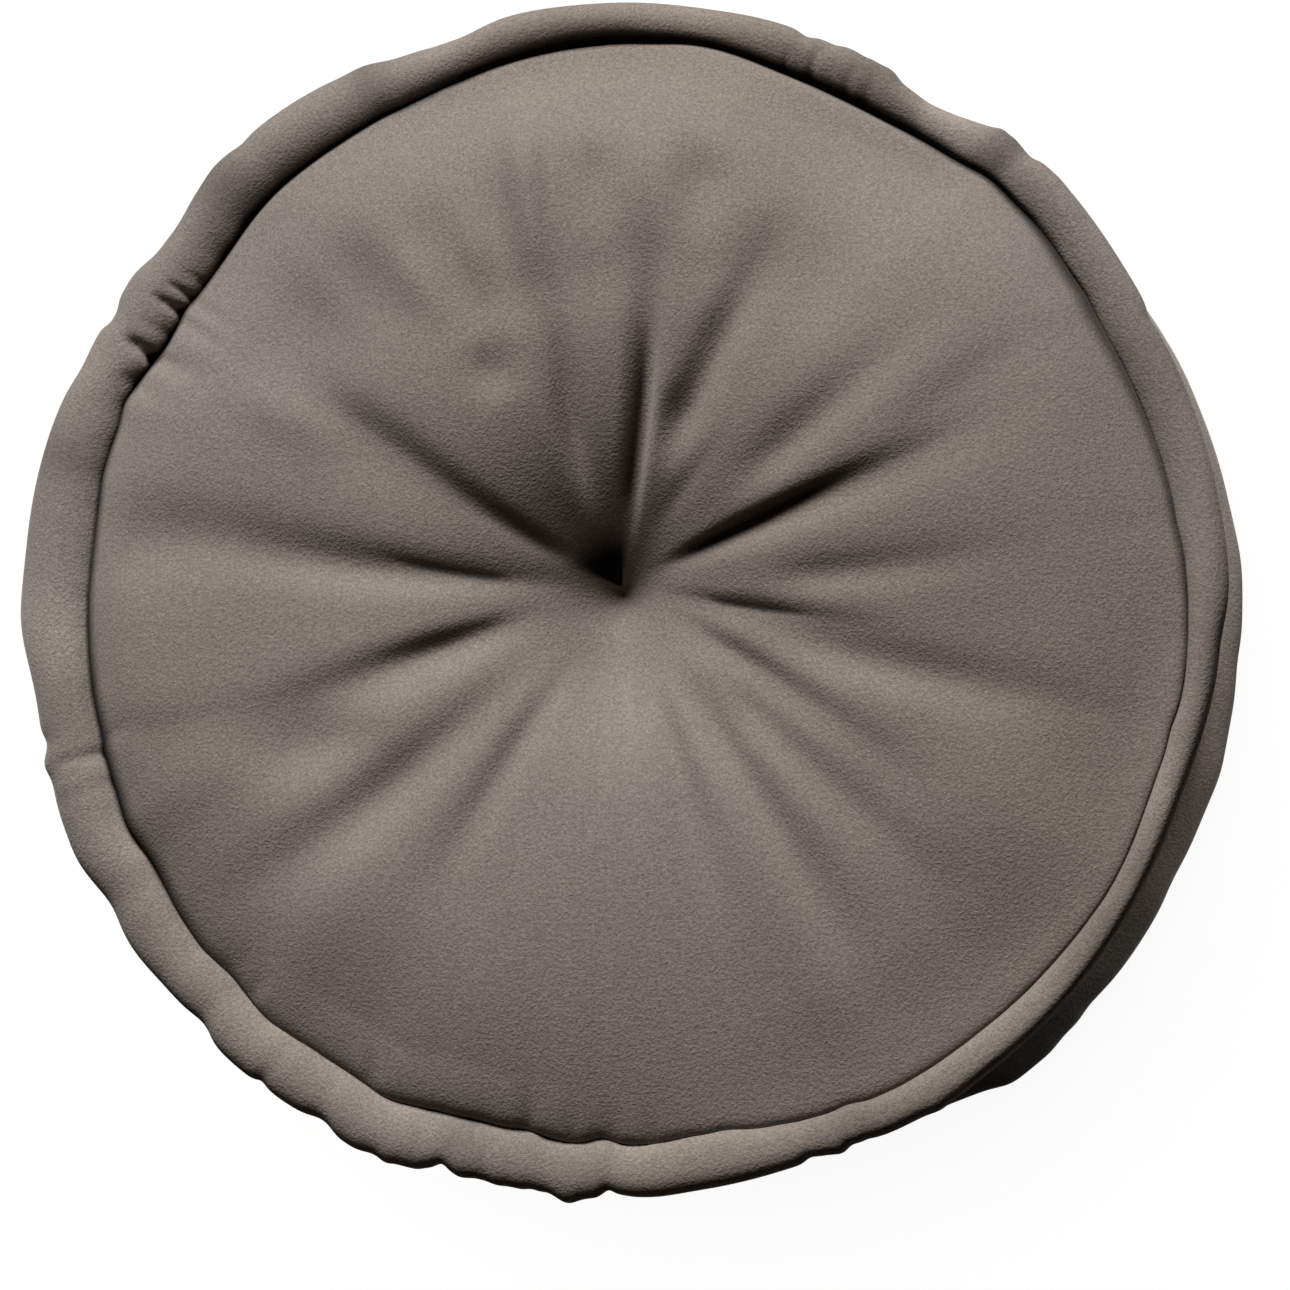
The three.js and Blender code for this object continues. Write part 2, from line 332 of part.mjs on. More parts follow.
// ---- the two rolled edges ----------------------------------------------------
// one ring of points for each section, always counter-clockwise seen along it
const rollRings = (rollOf) => degrees.map((deg) => {
  const roll = rollOf(deg);
  const turns = [
    ...steps(SEWN_STEPS + 1).map((i) => sewnTurn(roll, i)),
    ...steps(OPEN_STEPS - 1, 1).map((i) => openTurn(roll, i)),
  ];
  const ring = turns.map((turn) => around(deg, onRoll(roll, turn)));
  return roll.side > 0 ? ring : ring.reverse();
});

// ---- the pouf -----------------------------------------------------------------
const cloth = (color) => new THREE.MeshStandardMaterial({ color, roughness: 0.92, metalness: 0 });
const pieces = [
  { name: 'body', geometry: skinBetweenPoles(tuftPoint, bodyRings, dimplePoint), color: 0x827971 },
  { name: 'top_roll', geometry: skinRoundTube(rollRings(topRoll)), color: 0x847b73 },
  { name: 'bottom_roll', geometry: skinRoundTube(rollRings(bottomRoll)), color: 0x847b73 },
];

const pouf = new THREE.Group();
pouf.name = 'pouf';
for (const piece of pieces) {
  const mesh = new THREE.Mesh(piece.geometry, cloth(piece.color));
  mesh.name = piece.name;
  pouf.add(mesh);
}

export default pouf;
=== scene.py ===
# Round floor pouf: a filled cushion of top panel, side band and bottom panel,
# with a thick wadded roll sewn into its upper seam and another into its lower.
# Sizes in the tables are millimetres and degrees; meshes are built in metres.
import math

import bpy
import bmesh
import numpy as np
from mathutils import Matrix, Vector


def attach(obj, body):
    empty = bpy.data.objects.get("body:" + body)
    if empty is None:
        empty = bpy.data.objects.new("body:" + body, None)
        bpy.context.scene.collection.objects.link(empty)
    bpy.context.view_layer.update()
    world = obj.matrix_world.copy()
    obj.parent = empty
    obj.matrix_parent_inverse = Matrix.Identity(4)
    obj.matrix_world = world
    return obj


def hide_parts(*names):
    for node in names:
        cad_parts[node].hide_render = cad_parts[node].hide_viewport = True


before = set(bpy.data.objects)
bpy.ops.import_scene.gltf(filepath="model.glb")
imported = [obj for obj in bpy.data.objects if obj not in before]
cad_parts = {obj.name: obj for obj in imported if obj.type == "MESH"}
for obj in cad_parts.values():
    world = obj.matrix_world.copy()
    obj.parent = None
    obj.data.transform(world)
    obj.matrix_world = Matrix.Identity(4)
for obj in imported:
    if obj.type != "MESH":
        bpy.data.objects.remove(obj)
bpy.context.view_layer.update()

MM = 0.001


def table(columns, *rows):
    """Rows of named columns, as one array for each column."""
    names = columns.split()
    return {name: np.array([row[i] for row in rows], float) for i, name in enumerate(names)}


# ---- driving sizes ---------------------------------------------------------
SEAM_TURN, BAND_TURN = 144.0, 258.0      # degrees round a roll: bottom panel's seam, side band's seam
SEWN_TURN = 214.0                        # where a panel's cloth ends, sewn in behind the roll
TOP_RING_Z, BOTTOM_RING_Z = 130.0, 12.0  # middles of the rolls
BOTTOM_HIGH = 9.0                        # half height of the bottom roll
TUFT_X, TUFT_Y = 1.7, 4.0                # where the top panel is pulled down
CROWN_HIGH, CROWN_Z = 20.0, 135.5        # the filled panel's height above its seam
BOWL_DEEP, BOWL_REACH = 32.0, 110.8      # wide hollow round the tuft
BOWL_X, BOWL_Y = 2.0, 1.0                 # ... and its middle
FUNNEL_DEEP, FUNNEL_REACH = 10.3, 22.9    # last sharp pull at the tuft
RIM_FADE = 0.1                           # share of the panel next to the seam with no folds
DIMPLE_X, DIMPLE_Y, DIMPLE_HIGH = -2.0, 4.0, 12.0
BAND_DRAW = 8.0                          # how far the side band draws in at half height
CLEAR = 0.25                             # cloth to cloth

# seam: radius where the panel meets the roll; edge: outer radius of the roll;
# meet: how many degrees round the roll that is; high: half the roll's height;
# lean: how much its outer side sits above its inner side; oval: 1 where the
# section is a plain oval, less where its top is flatter and its side steeper
TOP_ROWS = table(
    "seam edge meet high lean oval",
    (193.2, 206.4, 154, 7.2, -0.1, 0.95), (190.4, 205.3, 152, 5.4, 1.4, 1), (188.2, 203.7, 152, 5.4, 1.4, 1), (187.1, 203.1, 148, 5.2, 1.6, 1),
    (188.3, 203.9, 142, 5.9, 1.9, 1), (185.4, 203, 145, 6.8, -0.4, 1), (183.4, 197.5, 148, 7, 2.2, 1), (184.5, 200.2, 148, 6.9, 1.9, 1),
    (187.8, 200.9, 147, 7.1, 0.3, 1), (187.2, 201.2, 150, 9.5, 1.2, 1), (185.2, 201.3, 144, 9.4, 1.5, 1), (182.2, 199.4, 147, 10.2, -0.4, 1),
    (181.7, 203.7, 150, 10.2, -0.4, 1), (181.7, 204.2, 150, 10.2, 1.1, 1), (178.1, 201.9, 151, 10.2, 0.8, 1), (178.7, 202.8, 158, 10.2, -1.8, 1),
    (182.4, 205.9, 152, 8.5, -1.4, 1), (180.6, 207.3, 152, 8.5, -1.8, 1), (181.5, 206.2, 152, 8.5, -1.8, 1), (182.1, 204.4, 152, 8.5, -1.8, 1),
    (182.7, 206.1, 152, 8.5, -1.8, 1), (181.3, 202.3, 152, 8.5, -1.8, 1), (183.3, 202.3, 146, 8, -0.4, 1), (184, 203.9, 146, 8, -0.2, 0.98),
    (182.2, 203.3, 146, 8, 0, 0.95), (181.7, 203.7, 148, 7.8, 0.2, 0.92), (181.2, 201, 148, 7.6, 0.3, 0.89), (182.4, 200.3, 148, 7.4, 0.4, 0.87),
    (182.3, 200.3, 148, 7.4, 0.4, 0.86), (186.1, 200, 148, 7.4, 0.4, 0.84), (190.1, 202.4, 148, 7.4, 0.5, 0.8), (191.4, 203.2, 148, 7.4, 0.6, 0.74),
    (192.9, 203.7, 148, 7.4, 0.6, 0.7), (194.4, 203.1, 148, 7.4, 0.5, 0.72), (193.3, 202.4, 150, 7.4, 0, 0.76), (194.6, 204.1, 152, 7.4, -0.4, 0.86),
)
BOTTOM_ROWS = table(
    "seam edge",
    (187, 203.6), (186, 203.1), (185, 202.9), (183, 200.8), (183, 200.7), (184, 202),
    (186, 203.5), (184, 202.2), (184, 203), (185, 203), (185, 202), (183, 200.5),
    (182, 199.2), (181, 198.5), (181, 198), (183, 198.9), (186, 203), (187, 202.4),
)
# where a roll's outer edge swells or is nipped in by its stitching
TOP_EDGE_GATHERS = table(
    "deg spread out",
    (23.9, 2.6, -0.4), (26, 1.2, -0.9), (41.7, 1.2, 0.3), (45, 0.8, -0.9), (47.7, 0.7, 0.4), (49, 0.8, 1.1), (53.8, 4.5, -3.7),
    (60.9, 1.2, 1.6), (63, 1.8, 1.7), (65, 0.8, 0.8), (66, 0.8, 0.9), (70.1, 1, -1), (104.9, 3.2, -1.9), (115, 2, 1.2),
    (129.2, 1.2, -0.7), (132.7, 1.9, 0.8), (139.8, 3.3, -2.2), (143, 1.8, -1), (145.8, 1.9, 0.5), (149.8, 1, -1.7), (151, 0.8, -1.3),
    (156.3, 2.2, -0.8), (182, 4.7, 1.7), (193.6, 1.1, -1.5), (195.6, 1, 0.8), (197.7, 1.5, -0.7), (205.8, 3.5, 2), (215.1, 4.1, 1.9),
    (224.9, 2.7, -1.2), (226.4, 1.2, -0.7), (233.6, 0.7, -1), (240.8, 1.9, -1.3), (243, 1.2, 0.8), (244.8, 1.3, 1.1), (248, 0.8, 1),
    (252, 0.8, -1.5), (253.2, 0.8, -3.2), (254.2, 0.8, -0.3), (254.2, 1.5, -1.5), (256.8, 1.3, -1.6), (260.1, 1.3, -0.5), (262.4, 0.7, -0.6),
    (263.4, 0.7, 0.4), (266, 1.2, 2.2), (267.5, 2.2, 0.8), (270, 0.8, -2.2), (274.6, 2.6, 0.6), (290, 0.8, -1.2), (293, 0.8, 1),
    (294, 1, -0.9), (295.9, 1.2, -0.4), (303, 1.2, 0.8), (305.2, 2.5, 0.5), (354.9, 2.6, -0.8),
)
TOP_SEAM_GATHERS = table(
    "deg spread out",
    (6, 1.8, -0.5), (31, 1.8, 0.6), (46.5, 2.7, 1.4), (85, 2.6, -0.5), (145.5, 1.4, 0.7), (150, 2.5, -1), (153, 2.8, -0.5),
    (157.7, 1.5, 0.7), (161, 2.2, -0.7), (166.5, 2.4, 0.8), (170.5, 2.8, 0.5), (194, 1.8, -0.4), (205, 3, 1.8), (215, 2.5, 0.3),
    (225, 3.2, -2.1), (235, 2.5, -0.4), (246, 3.8, 2.4), (256, 2, -0.5), (261.3, 1.6, -0.8), (266, 2.5, 1.1), (269.7, 1.6, -1.7),
    (274, 3.8, 1.2), (283, 1.8, -0.6), (295.3, 1.6, -0.9), (346, 1.8, -0.7),
)
BOTTOM_EDGE_GATHERS = table(
    "deg spread out",
    (5.2, 4, 0.6), (56, 4, -1.4), (75, 3, 0.7), (112, 3, -0.9), (132, 4, 1.2), (171, 3.5, -1.4), (190, 2.5, 0.8),
    (214, 4, 0.9), (230, 2.4, -0.8), (247, 3.5, -1), (271, 2.6, 0.5), (284, 2.2, -0.7), (304.5, 4, 2.4), (306, 1.8, 2.1),
    (308, 1.8, 1.5), (310.8, 3, 3.5), (315, 1.8, 1.3), (332.4, 3, -1.1), (344.2, 3, 0.7), (355, 2.6, -0.9),
)
BOTTOM_SEAM_GATHERS = table(
    "deg spread out",
    (309, 6, 1.0), (56, 4, -1.0), (132, 4, 0.5), (171, 3.5, -1.0), (214, 4, 1.0), (247, 3.5, -1.0),
)
# how the panel rounds over towards its seam, one row every fifteen degrees:
# sharp is how suddenly it turns to meet the roll; dark says how deep the painted
# shade in the groove between them is, reach how many millimetres of the panel
# and flank how many degrees of the roll that painted shade takes in
RIM_ROWS = table(
    "flat round sharp dark reach flank",
    (4.48, 1.1, 70, 0.7, 3, 4), (7.63, 0.98, 50, 0.75, 3.6, 6), (9.51, 0.76, 60, 0.85, 6, 8), (4.5, 0.82, 80, 1, 2.6, 24),
    (4.53, 2.07, 100, 1, 1, 42), (6.58, 1.25, 110, 1, 0.8, 38), (8.53, 2.03, 110, 1, 0.8, 44), (6.38, 1.55, 110, 1, 0.8, 26),
    (6.84, 1.15, 110, 1, 0.8, 16), (6.66, 1.65, 110, 1, 1, 14), (5.68, 0.7, 80, 1, 2.6, 12), (7.56, 0.7, 40, 1, 4.6, 9),
    (9.33, 0.75, 40, 1, 5.6, 8), (10.87, 0.91, 45, 1, 7.5, 6), (5.7, 0.7, 60, 1, 7.5, 4), (5.52, 0.94, 100, 0.5, 6, 1),
    (4.35, 0.86, 120, 0.3, 6, 1), (4.01, 0.75, 120, 0.2, 6, 1), (2.98, 0.8, 120, 0.15, 5, 1), (2.54, 1.16, 120, 0.1, 5, 1),
    (2.97, 1.31, 120, 0.1, 5, 1), (3.41, 1.57, 120, 0.1, 5, 1), (4.96, 1.63, 120, 0.15, 4, 1), (4.29, 1.91, 110, 0.4, 2.6, 2),
)
# folds drawn in by the tuft: both ends measured from the tuft, depth (a
# negative one stands proud), width at each end, lean to one side, and how far
# along it is deepest
FOLDS = table(
    "deg_in mm_in deg_out mm_out deep wide_in wide_out lean peak",
    (17, 6, 21.1, 173, 4.24, 2.3, 11.4, 0.19, 0.33),
    (-1.3, 49, 3.9, 158, 1.9, 5.1, 8, 0, 0.25),
    (32.3, 47, 39, 166, 3.08, 5.8, 11.5, -0.04, 0.26),
    (22.9, 97, 30, 185, 1.91, 9.2, 13.4, 0.18, 0.38),
    (61.4, 39, 61.8, 143, 4.6, 6.2, 7.5, -0, 0.24),
    (47.4, 15, 48.2, 67, 0.87, 3.8, 3.6, 0.01, 0.49),
    (70, 5, 81.4, 121, 7.93, 2.6, 6, -0.22, 0.5),
    (103.2, 20, 96.7, 103, 4.55, 3.8, 6.8, 0.08, 0.4),
    (101.2, 76, 99.8, 176, -6, 6.3, 7.3, -0.06, 0.59),
    (116.9, 64, 117.9, 91, 2.38, 7.6, 9.4, 0.1, 0.5),
    (120.6, 91, 123.8, 163, -2.75, 6.3, 11.1, -0.04, 0.46),
    (111.2, 97, 110, 150, -2.36, 5.3, 8.3, -0, 0.47),
    (134.7, 107, 132.8, 167, -1.23, 6, 8.3, -0.04, 0.54),
    (148.9, 6, 147.9, 136, 4.74, 3.1, 16, -0.32, 0.68),
    (180.6, 5, 170.7, 183, 4.7, 2.8, 13.9, 0.05, 0.43),
    (203.4, 22, 199.9, 154, 5.12, 3.9, 13.1, -0.15, 0.32),
    (211.3, 82, 205, 148, 4.39, 7.8, 15.9, 0.05, 0.49),
    (227, 22, 219.3, 188, 4.91, 5.6, 14, -0.04, 0.51),
    (242.8, 19, 240.2, 137, 3.02, 3.9, 9.1, -0.07, 0.38),
    (293.7, 33, 287.2, 131, 3.8, 5.1, 7, -0.1, 0.28),
    (307.6, 28, 302, 189, 5.16, 4.9, 11.5, -0.07, 0.28),
    (318, 39, 317.5, 180, 3.13, 5.9, 10.4, 0.12, 0.22),
    (331.2, 18, 326.3, 140, 3.04, 4.5, 9.2, 0.22, 0.28),
    (347.5, 10, 349, 118, 2.34, 2.9, 9.3, 0.35, 0.37),
    (340.6, 44, 345.3, 187, 3.24, 6.8, 10.6, -0.02, 0.33),
    (199.9, 116, 197, 186, 1.27, 7.8, 10.8, -0.23, 0.63),
    (153, 90, 151.2, 158, -2.07, 7.1, 9.6, -0.08, 0.47),
    (72.5, 110, 76.7, 154, 6.03, 8.7, 14.4, 0.12, 0.56),
    (89.5, 108, 90.5, 151, 2.72, 6.5, 10.6, 0.05, 0.59),
    (256.7, 14, 259.6, 58, 0.31, 4.1, 3.9, -0.05, 0.39),
    (276.2, 19, 277.9, 100, 2, 5.2, 5.5, 0.04, 0.37),
    (150.6, 10, 150, 67, 1.39, 2.7, 4.6, 0, 0.38),
    (81.4, 21, 83.5, 99, -0.37, 2.7, 3.3, -0.02, 0.43),
    (107.9, 31, 106.6, 123, 0.3, 2.6, 3.4, 0, 0.35),
    (198.8, 35, 197.3, 105, 0.48, 2.8, 5.1, -0.01, 0.53),
    (70.4, 54, 68.7, 82, -0.57, 4.1, 4.5, 0.01, 0.5),
    (65, 84, 67.3, 114, -0.99, 6, 6.3, -0, 0.51),
    (318.6, 147, 317.4, 181, -0.37, 7.1, 7.4, -0.01, 0.5),
    (268.4, 36, 268.5, 94, 0.52, 3.1, 4.3, -0, 0.5),
)
# soft swells and hollows of the filling, measured from the tuft
SWELLS = table(
    "deg mm high long wide",
    (99.4, 98, -2.2, 13, 38), (139.3, 132, -5.6, 23, 37), (173.6, 100, -7, 37, 53),
    (216.9, 105, -3.3, 21, 40), (246.5, 109, -1.9, 39, 19), (288.7, 94, -2.1, 32, 53),
    (325.4, 111, -2.6, 26, 20), (33.6, 104, 6.3, 44, 53), (82, 92, 8, 50, 70),
    (88.2, 50, 1.1, 23, 21), (134.4, 56, 8, 50, 37), (216.5, 50, 2, 18, 28),
    (274.2, 29, -8, 21, 15), (324.7, 65, -2.3, 26, 19), (30.7, 51, 4.9, 33, 36),
    (72.9, 137, 8, 22, 70), (113.2, 146, 3.3, 17, 35), (174.7, 160, -3.6, 29, 15),
    (246.4, 169, -2, 30, 53), (300.4, 154, 0.4, 12, 44), (348.7, 157, 2.2, 26, 27),
)
# small tucks that start at the seam and run a little way into the panel
PUCKERS = table(
    "deg spread_mm reach_mm deep",
    (144.5, 1.6, 24, 1.1), (146.9, 1.5, 22, 1.1), (148.9, 1.6, 15, -0.5), (151.9, 2.4, 17, 2.4),
    (155.8, 2.2, 11, 0.7), (195.1, 2, 14, 0.8), (227.6, 2, 10, 0.8), (243.4, 2.2, 10, 0.7),
    (261.7, 1.8, 12, 0.8), (266.4, 1.8, 11, 0.7), (270.8, 1.8, 12, 0.8), (275, 1.7, 8, 0.5),
)
# narrow lines where a fold is pressed shut, measured from the tuft; dark says
# how deep the painted shade on the cloth at their bottom is
SHUT_FOLDS = table(
    "deg_in mm_in deg_out mm_out deep wide dark",
    (18.9, 17, 21.6, 105, 0.8, 2.3, 0.9), (76.2, 21, 79.3, 89, 0.8, 1.6, 0.8), (150, 14, 147.1, 82, 0.2, 3, 0.35),
    (178.6, 30, 172.7, 81, 0.6, 1.7, 0.6), (199.1, 34, 198.7, 87, 0.3, 2.4, 0.5), (348.2, 32, 349.4, 75, 0.4, 1.3, 0.5),
)
# the steep side of the pit round the tuft, darkened by painted shade in the colour itself
PIT_TURN, PIT_SPREAD, PIT_REACH = 115.0, 52.0, 21.0

# creases across the top roll: where, how wide, how deep as a share of its
# section, and between which turns round the section they run
CREASES = table(
    "deg spread deep turn_from turn_to slant",
    (45.9, 0.9, 0.08, -30, 120, 0), (56.3, 1.4, 0.05, -30, 165, 0), (61.8, 0.8, 0.07, 40, 170, 0),
    (64.1, 0.6, 0.08, 60, 165, 0), (68.2, 0.6, 0.13, 50, 170, 0), (69.6, 0.8, 0.03, -30, 110, 0),
    (71, 0.5, 0.07, 90, 178, 0), (107.9, 1.2, 0.03, -20, 150, 0), (115.5, 2.2, 0.04, 40, 178, 0),
    (128.5, 1.3, 0.03, 40, 178, 0), (133.6, 2.6, 0.05, 20, 178, 0), (142.3, 0.5, 0.04, 110, 175, 0),
    (144.3, 0.45, 0.13, 104, 178, 0), (146.3, 0.55, 0.17, 98, 178, 0), (149.1, 0.6, 0.04, 100, 175, 0),
    (152, 0.7, 0.26, 96, 180, 0.5), (155.3, 1, 0.07, 120, 178, 0), (188.6, 2.2, 0.03, 20, 168, 0),
    (196.2, 0.6, 0.07, 60, 172, 0.2), (199.6, 0.9, 0.04, 20, 172, 0), (211, 1.9, 0.05, -30, 150, 0),
    (219.7, 1.4, 0.02, 20, 165, 0), (225.6, 1.4, 0.07, -20, 170, 0.5), (234.2, 1, 0.04, -20, 130, 0),
    (240.4, 1.4, 0.05, -30, 150, -0.5), (250.7, 0.9, 0.03, -20, 140, 0), (254.2, 0.9, 0.05, -40, 110, 0),
    (258.1, 0.8, 0.05, -40, 120, 0), (263.6, 0.9, 0.06, -40, 170, 0), (271.3, 0.9, 0.05, -40, 170, 0),
    (291.1, 0.7, 0.05, -50, 110, 0), (295.6, 0.6, 0.05, -50, 120, 0), (331.2, 1.2, 0.02, -40, 120, 0),
)


# tone marks along the rolls, their strengths set by comparing brightness with
# the photograph: partly the brushed nap, partly painted light and shade that the
# lights here don't give. They stay in the colour under any light; 0 takes one out
ROLL_NAP_AND_PAINTED_LIGHT = table(
    "deg spread lift",
    (355, 9, -0.12), (7, 7, -0.08), (21, 7, -0.2), (35, 2, 0.08), (47.5, 2, -0.38), (53.5, 3.5, 0.38), (62, 3.5, -0.3),
    (71, 5, -0.1), (82, 5, 0.06), (94, 5, -0.08), (107, 4, 0.08), (115, 2.6, -0.25), (133.5, 3.8, -0.36), (155, 5, 0.13),
    (165, 2.6, -0.28), (172, 4, -0.02), (183, 5, 0.38), (190.5, 2.2, -0.15), (197.8, 1, 0.2), (206, 4, 0.24), (213, 3, 0.1),
    (219, 3, 0.15), (225, 1.5, 0.1), (230, 4, 0.22), (240, 3, 0.14), (247, 4.5, 0.18), (255, 2, -0.12), (273, 3, 0.1),
    (296, 6, -0.24), (304, 4, -0.08), (326, 6, -0.25), (334, 3, -0.1), (340, 3.5, 0.16),
)
# on the bottom roll the marks are painted shade, darkening it from about 290 round to 25 degrees
BOTTOM_NAP_AND_PAINTED_SHADE = table(
    "deg spread lift",
    (300, 9, -0.5), (313, 10, -0.68), (327, 6, -0.3), (357, 13, -0.3), (16, 10, -0.2),
)


# ---- curves ------------------------------------------------------------------
def turn_between(a, b):
    return (a - b + 180.0) % 360.0 - 180.0


def along(column, deg):
    """Smooth closed curve through evenly spaced values."""
    n = len(column)
    at = (np.asarray(deg, float) % 360.0) / 360.0 * n
    k = np.floor(at).astype(int)
    t = at - k
    p = [column[(k + j) % n] for j in (-1, 0, 1, 2)]
    return p[1] + 0.5 * t * (p[2] - p[0] + t * (2 * p[0] - 5 * p[1] + 4 * p[2] - p[3] + t * (3 * (p[1] - p[2]) + p[3] - p[0])))


def gathered(gathers, deg):
    deg = np.asarray(deg, float)
    total = np.zeros(deg.shape)
    for centre, spread, out in zip(gathers["deg"], gathers["spread"], gathers["out"]):
        total = total + out * np.exp(-((turn_between(deg, centre) / spread) ** 2))
    return total


def ease(t):
    t = np.clip(t, 0, 1)
    return t * t * (3 - 2 * t)


def waves(deg, lowest, highest, seed):
    """Smooth closed noise of unit size made of whole waves round the pouf."""
    rng = np.random.default_rng(seed)
    deg = np.asarray(deg, float)
    total = np.zeros(deg.shape)
    counts = np.arange(lowest, highest + 1)
    for n in counts:
        total = total + rng.normal() * np.cos(np.radians(n * deg) + rng.uniform(0, 2 * np.pi))
    return total / math.sqrt(len(counts) / 2.0)


def meeting_turn(rows, deg):
    """How far round its roll a panel's cloth first touches it."""
    return along(rows["meet"], deg) if "meet" in rows else SEAM_TURN + 0 * np.asarray(deg, float)


def bent(part, oval):
    """A sine or cosine made fuller, so that an oval becomes rather boxy."""
    return np.sign(part) * np.abs(part) ** oval


def roll_section(rows, edge_gathers, seam_gathers, middle_z, deg):
    edge = along(rows["edge"], deg)
    seam = along(rows["seam"], deg) + gathered(seam_gathers, deg)
    oval = along(rows["oval"], deg) if "oval" in rows else 1 + 0 * edge
    half = (edge - seam) / (1 - bent(np.cos(np.radians(meeting_turn(rows, deg))), oval))
    high = along(rows["high"], deg) if "high" in rows else BOTTOM_HIGH + 0 * half
    lean = along(rows["lean"], deg) if "lean" in rows else 0 * half
    return edge - half, middle_z + 0 * half, half, high, lean, oval, gathered(edge_gathers, deg)


def nipped(nip, across):
    """How far a gather moves a point of the roll: all of it at its outer side, nothing at its inner."""
    return nip * (0.5 + 0.5 * across) ** 3


def top_roll(deg):
    return roll_section(TOP_ROWS, TOP_EDGE_GATHERS, TOP_SEAM_GATHERS, TOP_RING_Z, deg)


def bottom_roll(deg):
    return roll_section(BOTTOM_ROWS, BOTTOM_EDGE_GATHERS, BOTTOM_SEAM_GATHERS, BOTTOM_RING_Z, deg)


def on_roll(roll, turn, clear=0.0):
    """Radius and height of the point that many degrees round the roll's oval."""
    r, z, wide, high, lean, oval, nip = roll
    across, up = bent(np.cos(np.radians(turn)), oval), bent(np.sin(np.radians(turn)), oval)
    return r + (wide + clear) * across + nipped(nip, across), z + (high + clear) * up + lean * across


def at_angle(deg, r, z):
    a = np.radians(deg)
    return np.stack([r * np.cos(a), r * np.sin(a), z + 0 * r], -1)


# ---- the top panel -------------------------------------------------------------
def fold_depth(deg, mm):
    depth = np.zeros(np.shape(mm))
    for i in range(len(FOLDS["deep"])):
        f = {name: column[i] for name, column in FOLDS.items()}
        s = (mm - f["mm_in"]) / (f["mm_out"] - f["mm_in"])
        middle = f["deg_in"] + (f["deg_out"] - f["deg_in"]) * np.clip(s, 0, 1)
        turn = np.clip(turn_between(deg, middle), -85, 85)
        aside = np.sin(np.radians(turn)) * mm
        wide = f["wide_in"] + (f["wide_out"] - f["wide_in"]) * np.clip(s, 0, 1)
        wide = wide * np.where(aside > 0, math.exp(-f["lean"]), math.exp(f["lean"]))
        fade = np.where(s < f["peak"], ease(s / f["peak"]), ease((1 - s) / (1 - f["peak"])))
        near = np.abs(turn_between(deg, middle)) < 85
        depth = depth + np.where(near, f["deep"] * fade * np.exp(-((aside / wide) ** 2)), 0.0)
    return depth


def shut_fold(deg, mm, size):
    """The given size of the folds pressed shut, at a point measured from the tuft."""
    total = np.zeros(np.shape(mm))
    for i in range(len(SHUT_FOLDS["deep"])):
        f = {name: column[i] for name, column in SHUT_FOLDS.items()}
        s = np.clip((mm - f["mm_in"]) / (f["mm_out"] - f["mm_in"]), 0, 1)
        turn = np.clip(turn_between(deg, f["deg_in"] + (f["deg_out"] - f["deg_in"]) * s), -60, 60)
        aside = np.radians(turn) * mm
        total = np.maximum(total, f[size] * ease(5 * s) * ease(2.5 * (1 - s)) * np.exp(-((aside / f["wide"]) ** 2)))
    return total


def swell_height(deg, mm):
    height = np.zeros(np.shape(mm))
    for d, far, high, long, wide in zip(*(SWELLS[c] for c in ("deg", "mm", "high", "long", "wide"))):
        aside = np.radians(deg - d)
        height = height + high * np.exp(-((np.cos(aside) * mm - far) / long) ** 2 - ((np.sin(aside) * mm) / wide) ** 2)
    return height


def top_point(deg, u, fine=True):
    """A point of the top panel: deg round the pouf, u from the tuft (0) to the seam (1)."""
    r_edge, z_edge = on_roll(top_roll(deg), meeting_turn(TOP_ROWS, deg), CLEAR)
    a = np.radians(deg)
    x = TUFT_X + (r_edge * np.cos(a) - TUFT_X) * u
    y = TUFT_Y + (r_edge * np.sin(a) - TUFT_Y) * u
    mm = np.hypot(x - TUFT_X, y - TUFT_Y)
    turn = np.degrees(np.arctan2(y - TUFT_Y, x - TUFT_X))
    z = CROWN_Z + (z_edge - CROWN_Z) * u ** np.clip(along(RIM_ROWS["sharp"], deg), 20, 160)
    z = z + CROWN_HIGH * np.clip(1 - u ** along(RIM_ROWS["flat"], deg), 0, 1) ** along(RIM_ROWS["round"], deg)
    z = z - BOWL_DEEP * np.clip(1 - np.hypot(x - BOWL_X, y - BOWL_Y) / BOWL_REACH, 0, 1) ** 2
    z = z - FUNNEL_DEEP * np.exp(-np.hypot(mm, 2.0) / FUNNEL_REACH)
    z = z + (swell_height(turn, mm) - fold_depth(turn, mm)) * np.clip((1 - u) / RIM_FADE, 0, 1)
    if fine:
        z = z - shut_fold(turn, mm, "deep")
        inward = r_edge * (1 - u)
        lift = np.clip(inward / 2.0, 0, 1)
        for d, spread, reach, deep in zip(*(PUCKERS[c] for c in ("deg", "spread_mm", "reach_mm", "deep"))):
            aside = np.radians(turn_between(deg, d)) * mm
            z = z - deep * lift * np.exp(-((aside / (spread * (1 + inward / reach))) ** 2)) * np.exp(-((inward / reach) ** 2))
        z = z + 0.06 * lift * waves(deg, 40, 90, 11) * np.exp(-((inward / 7.0) ** 2))
    return np.stack([x, y, z], -1)


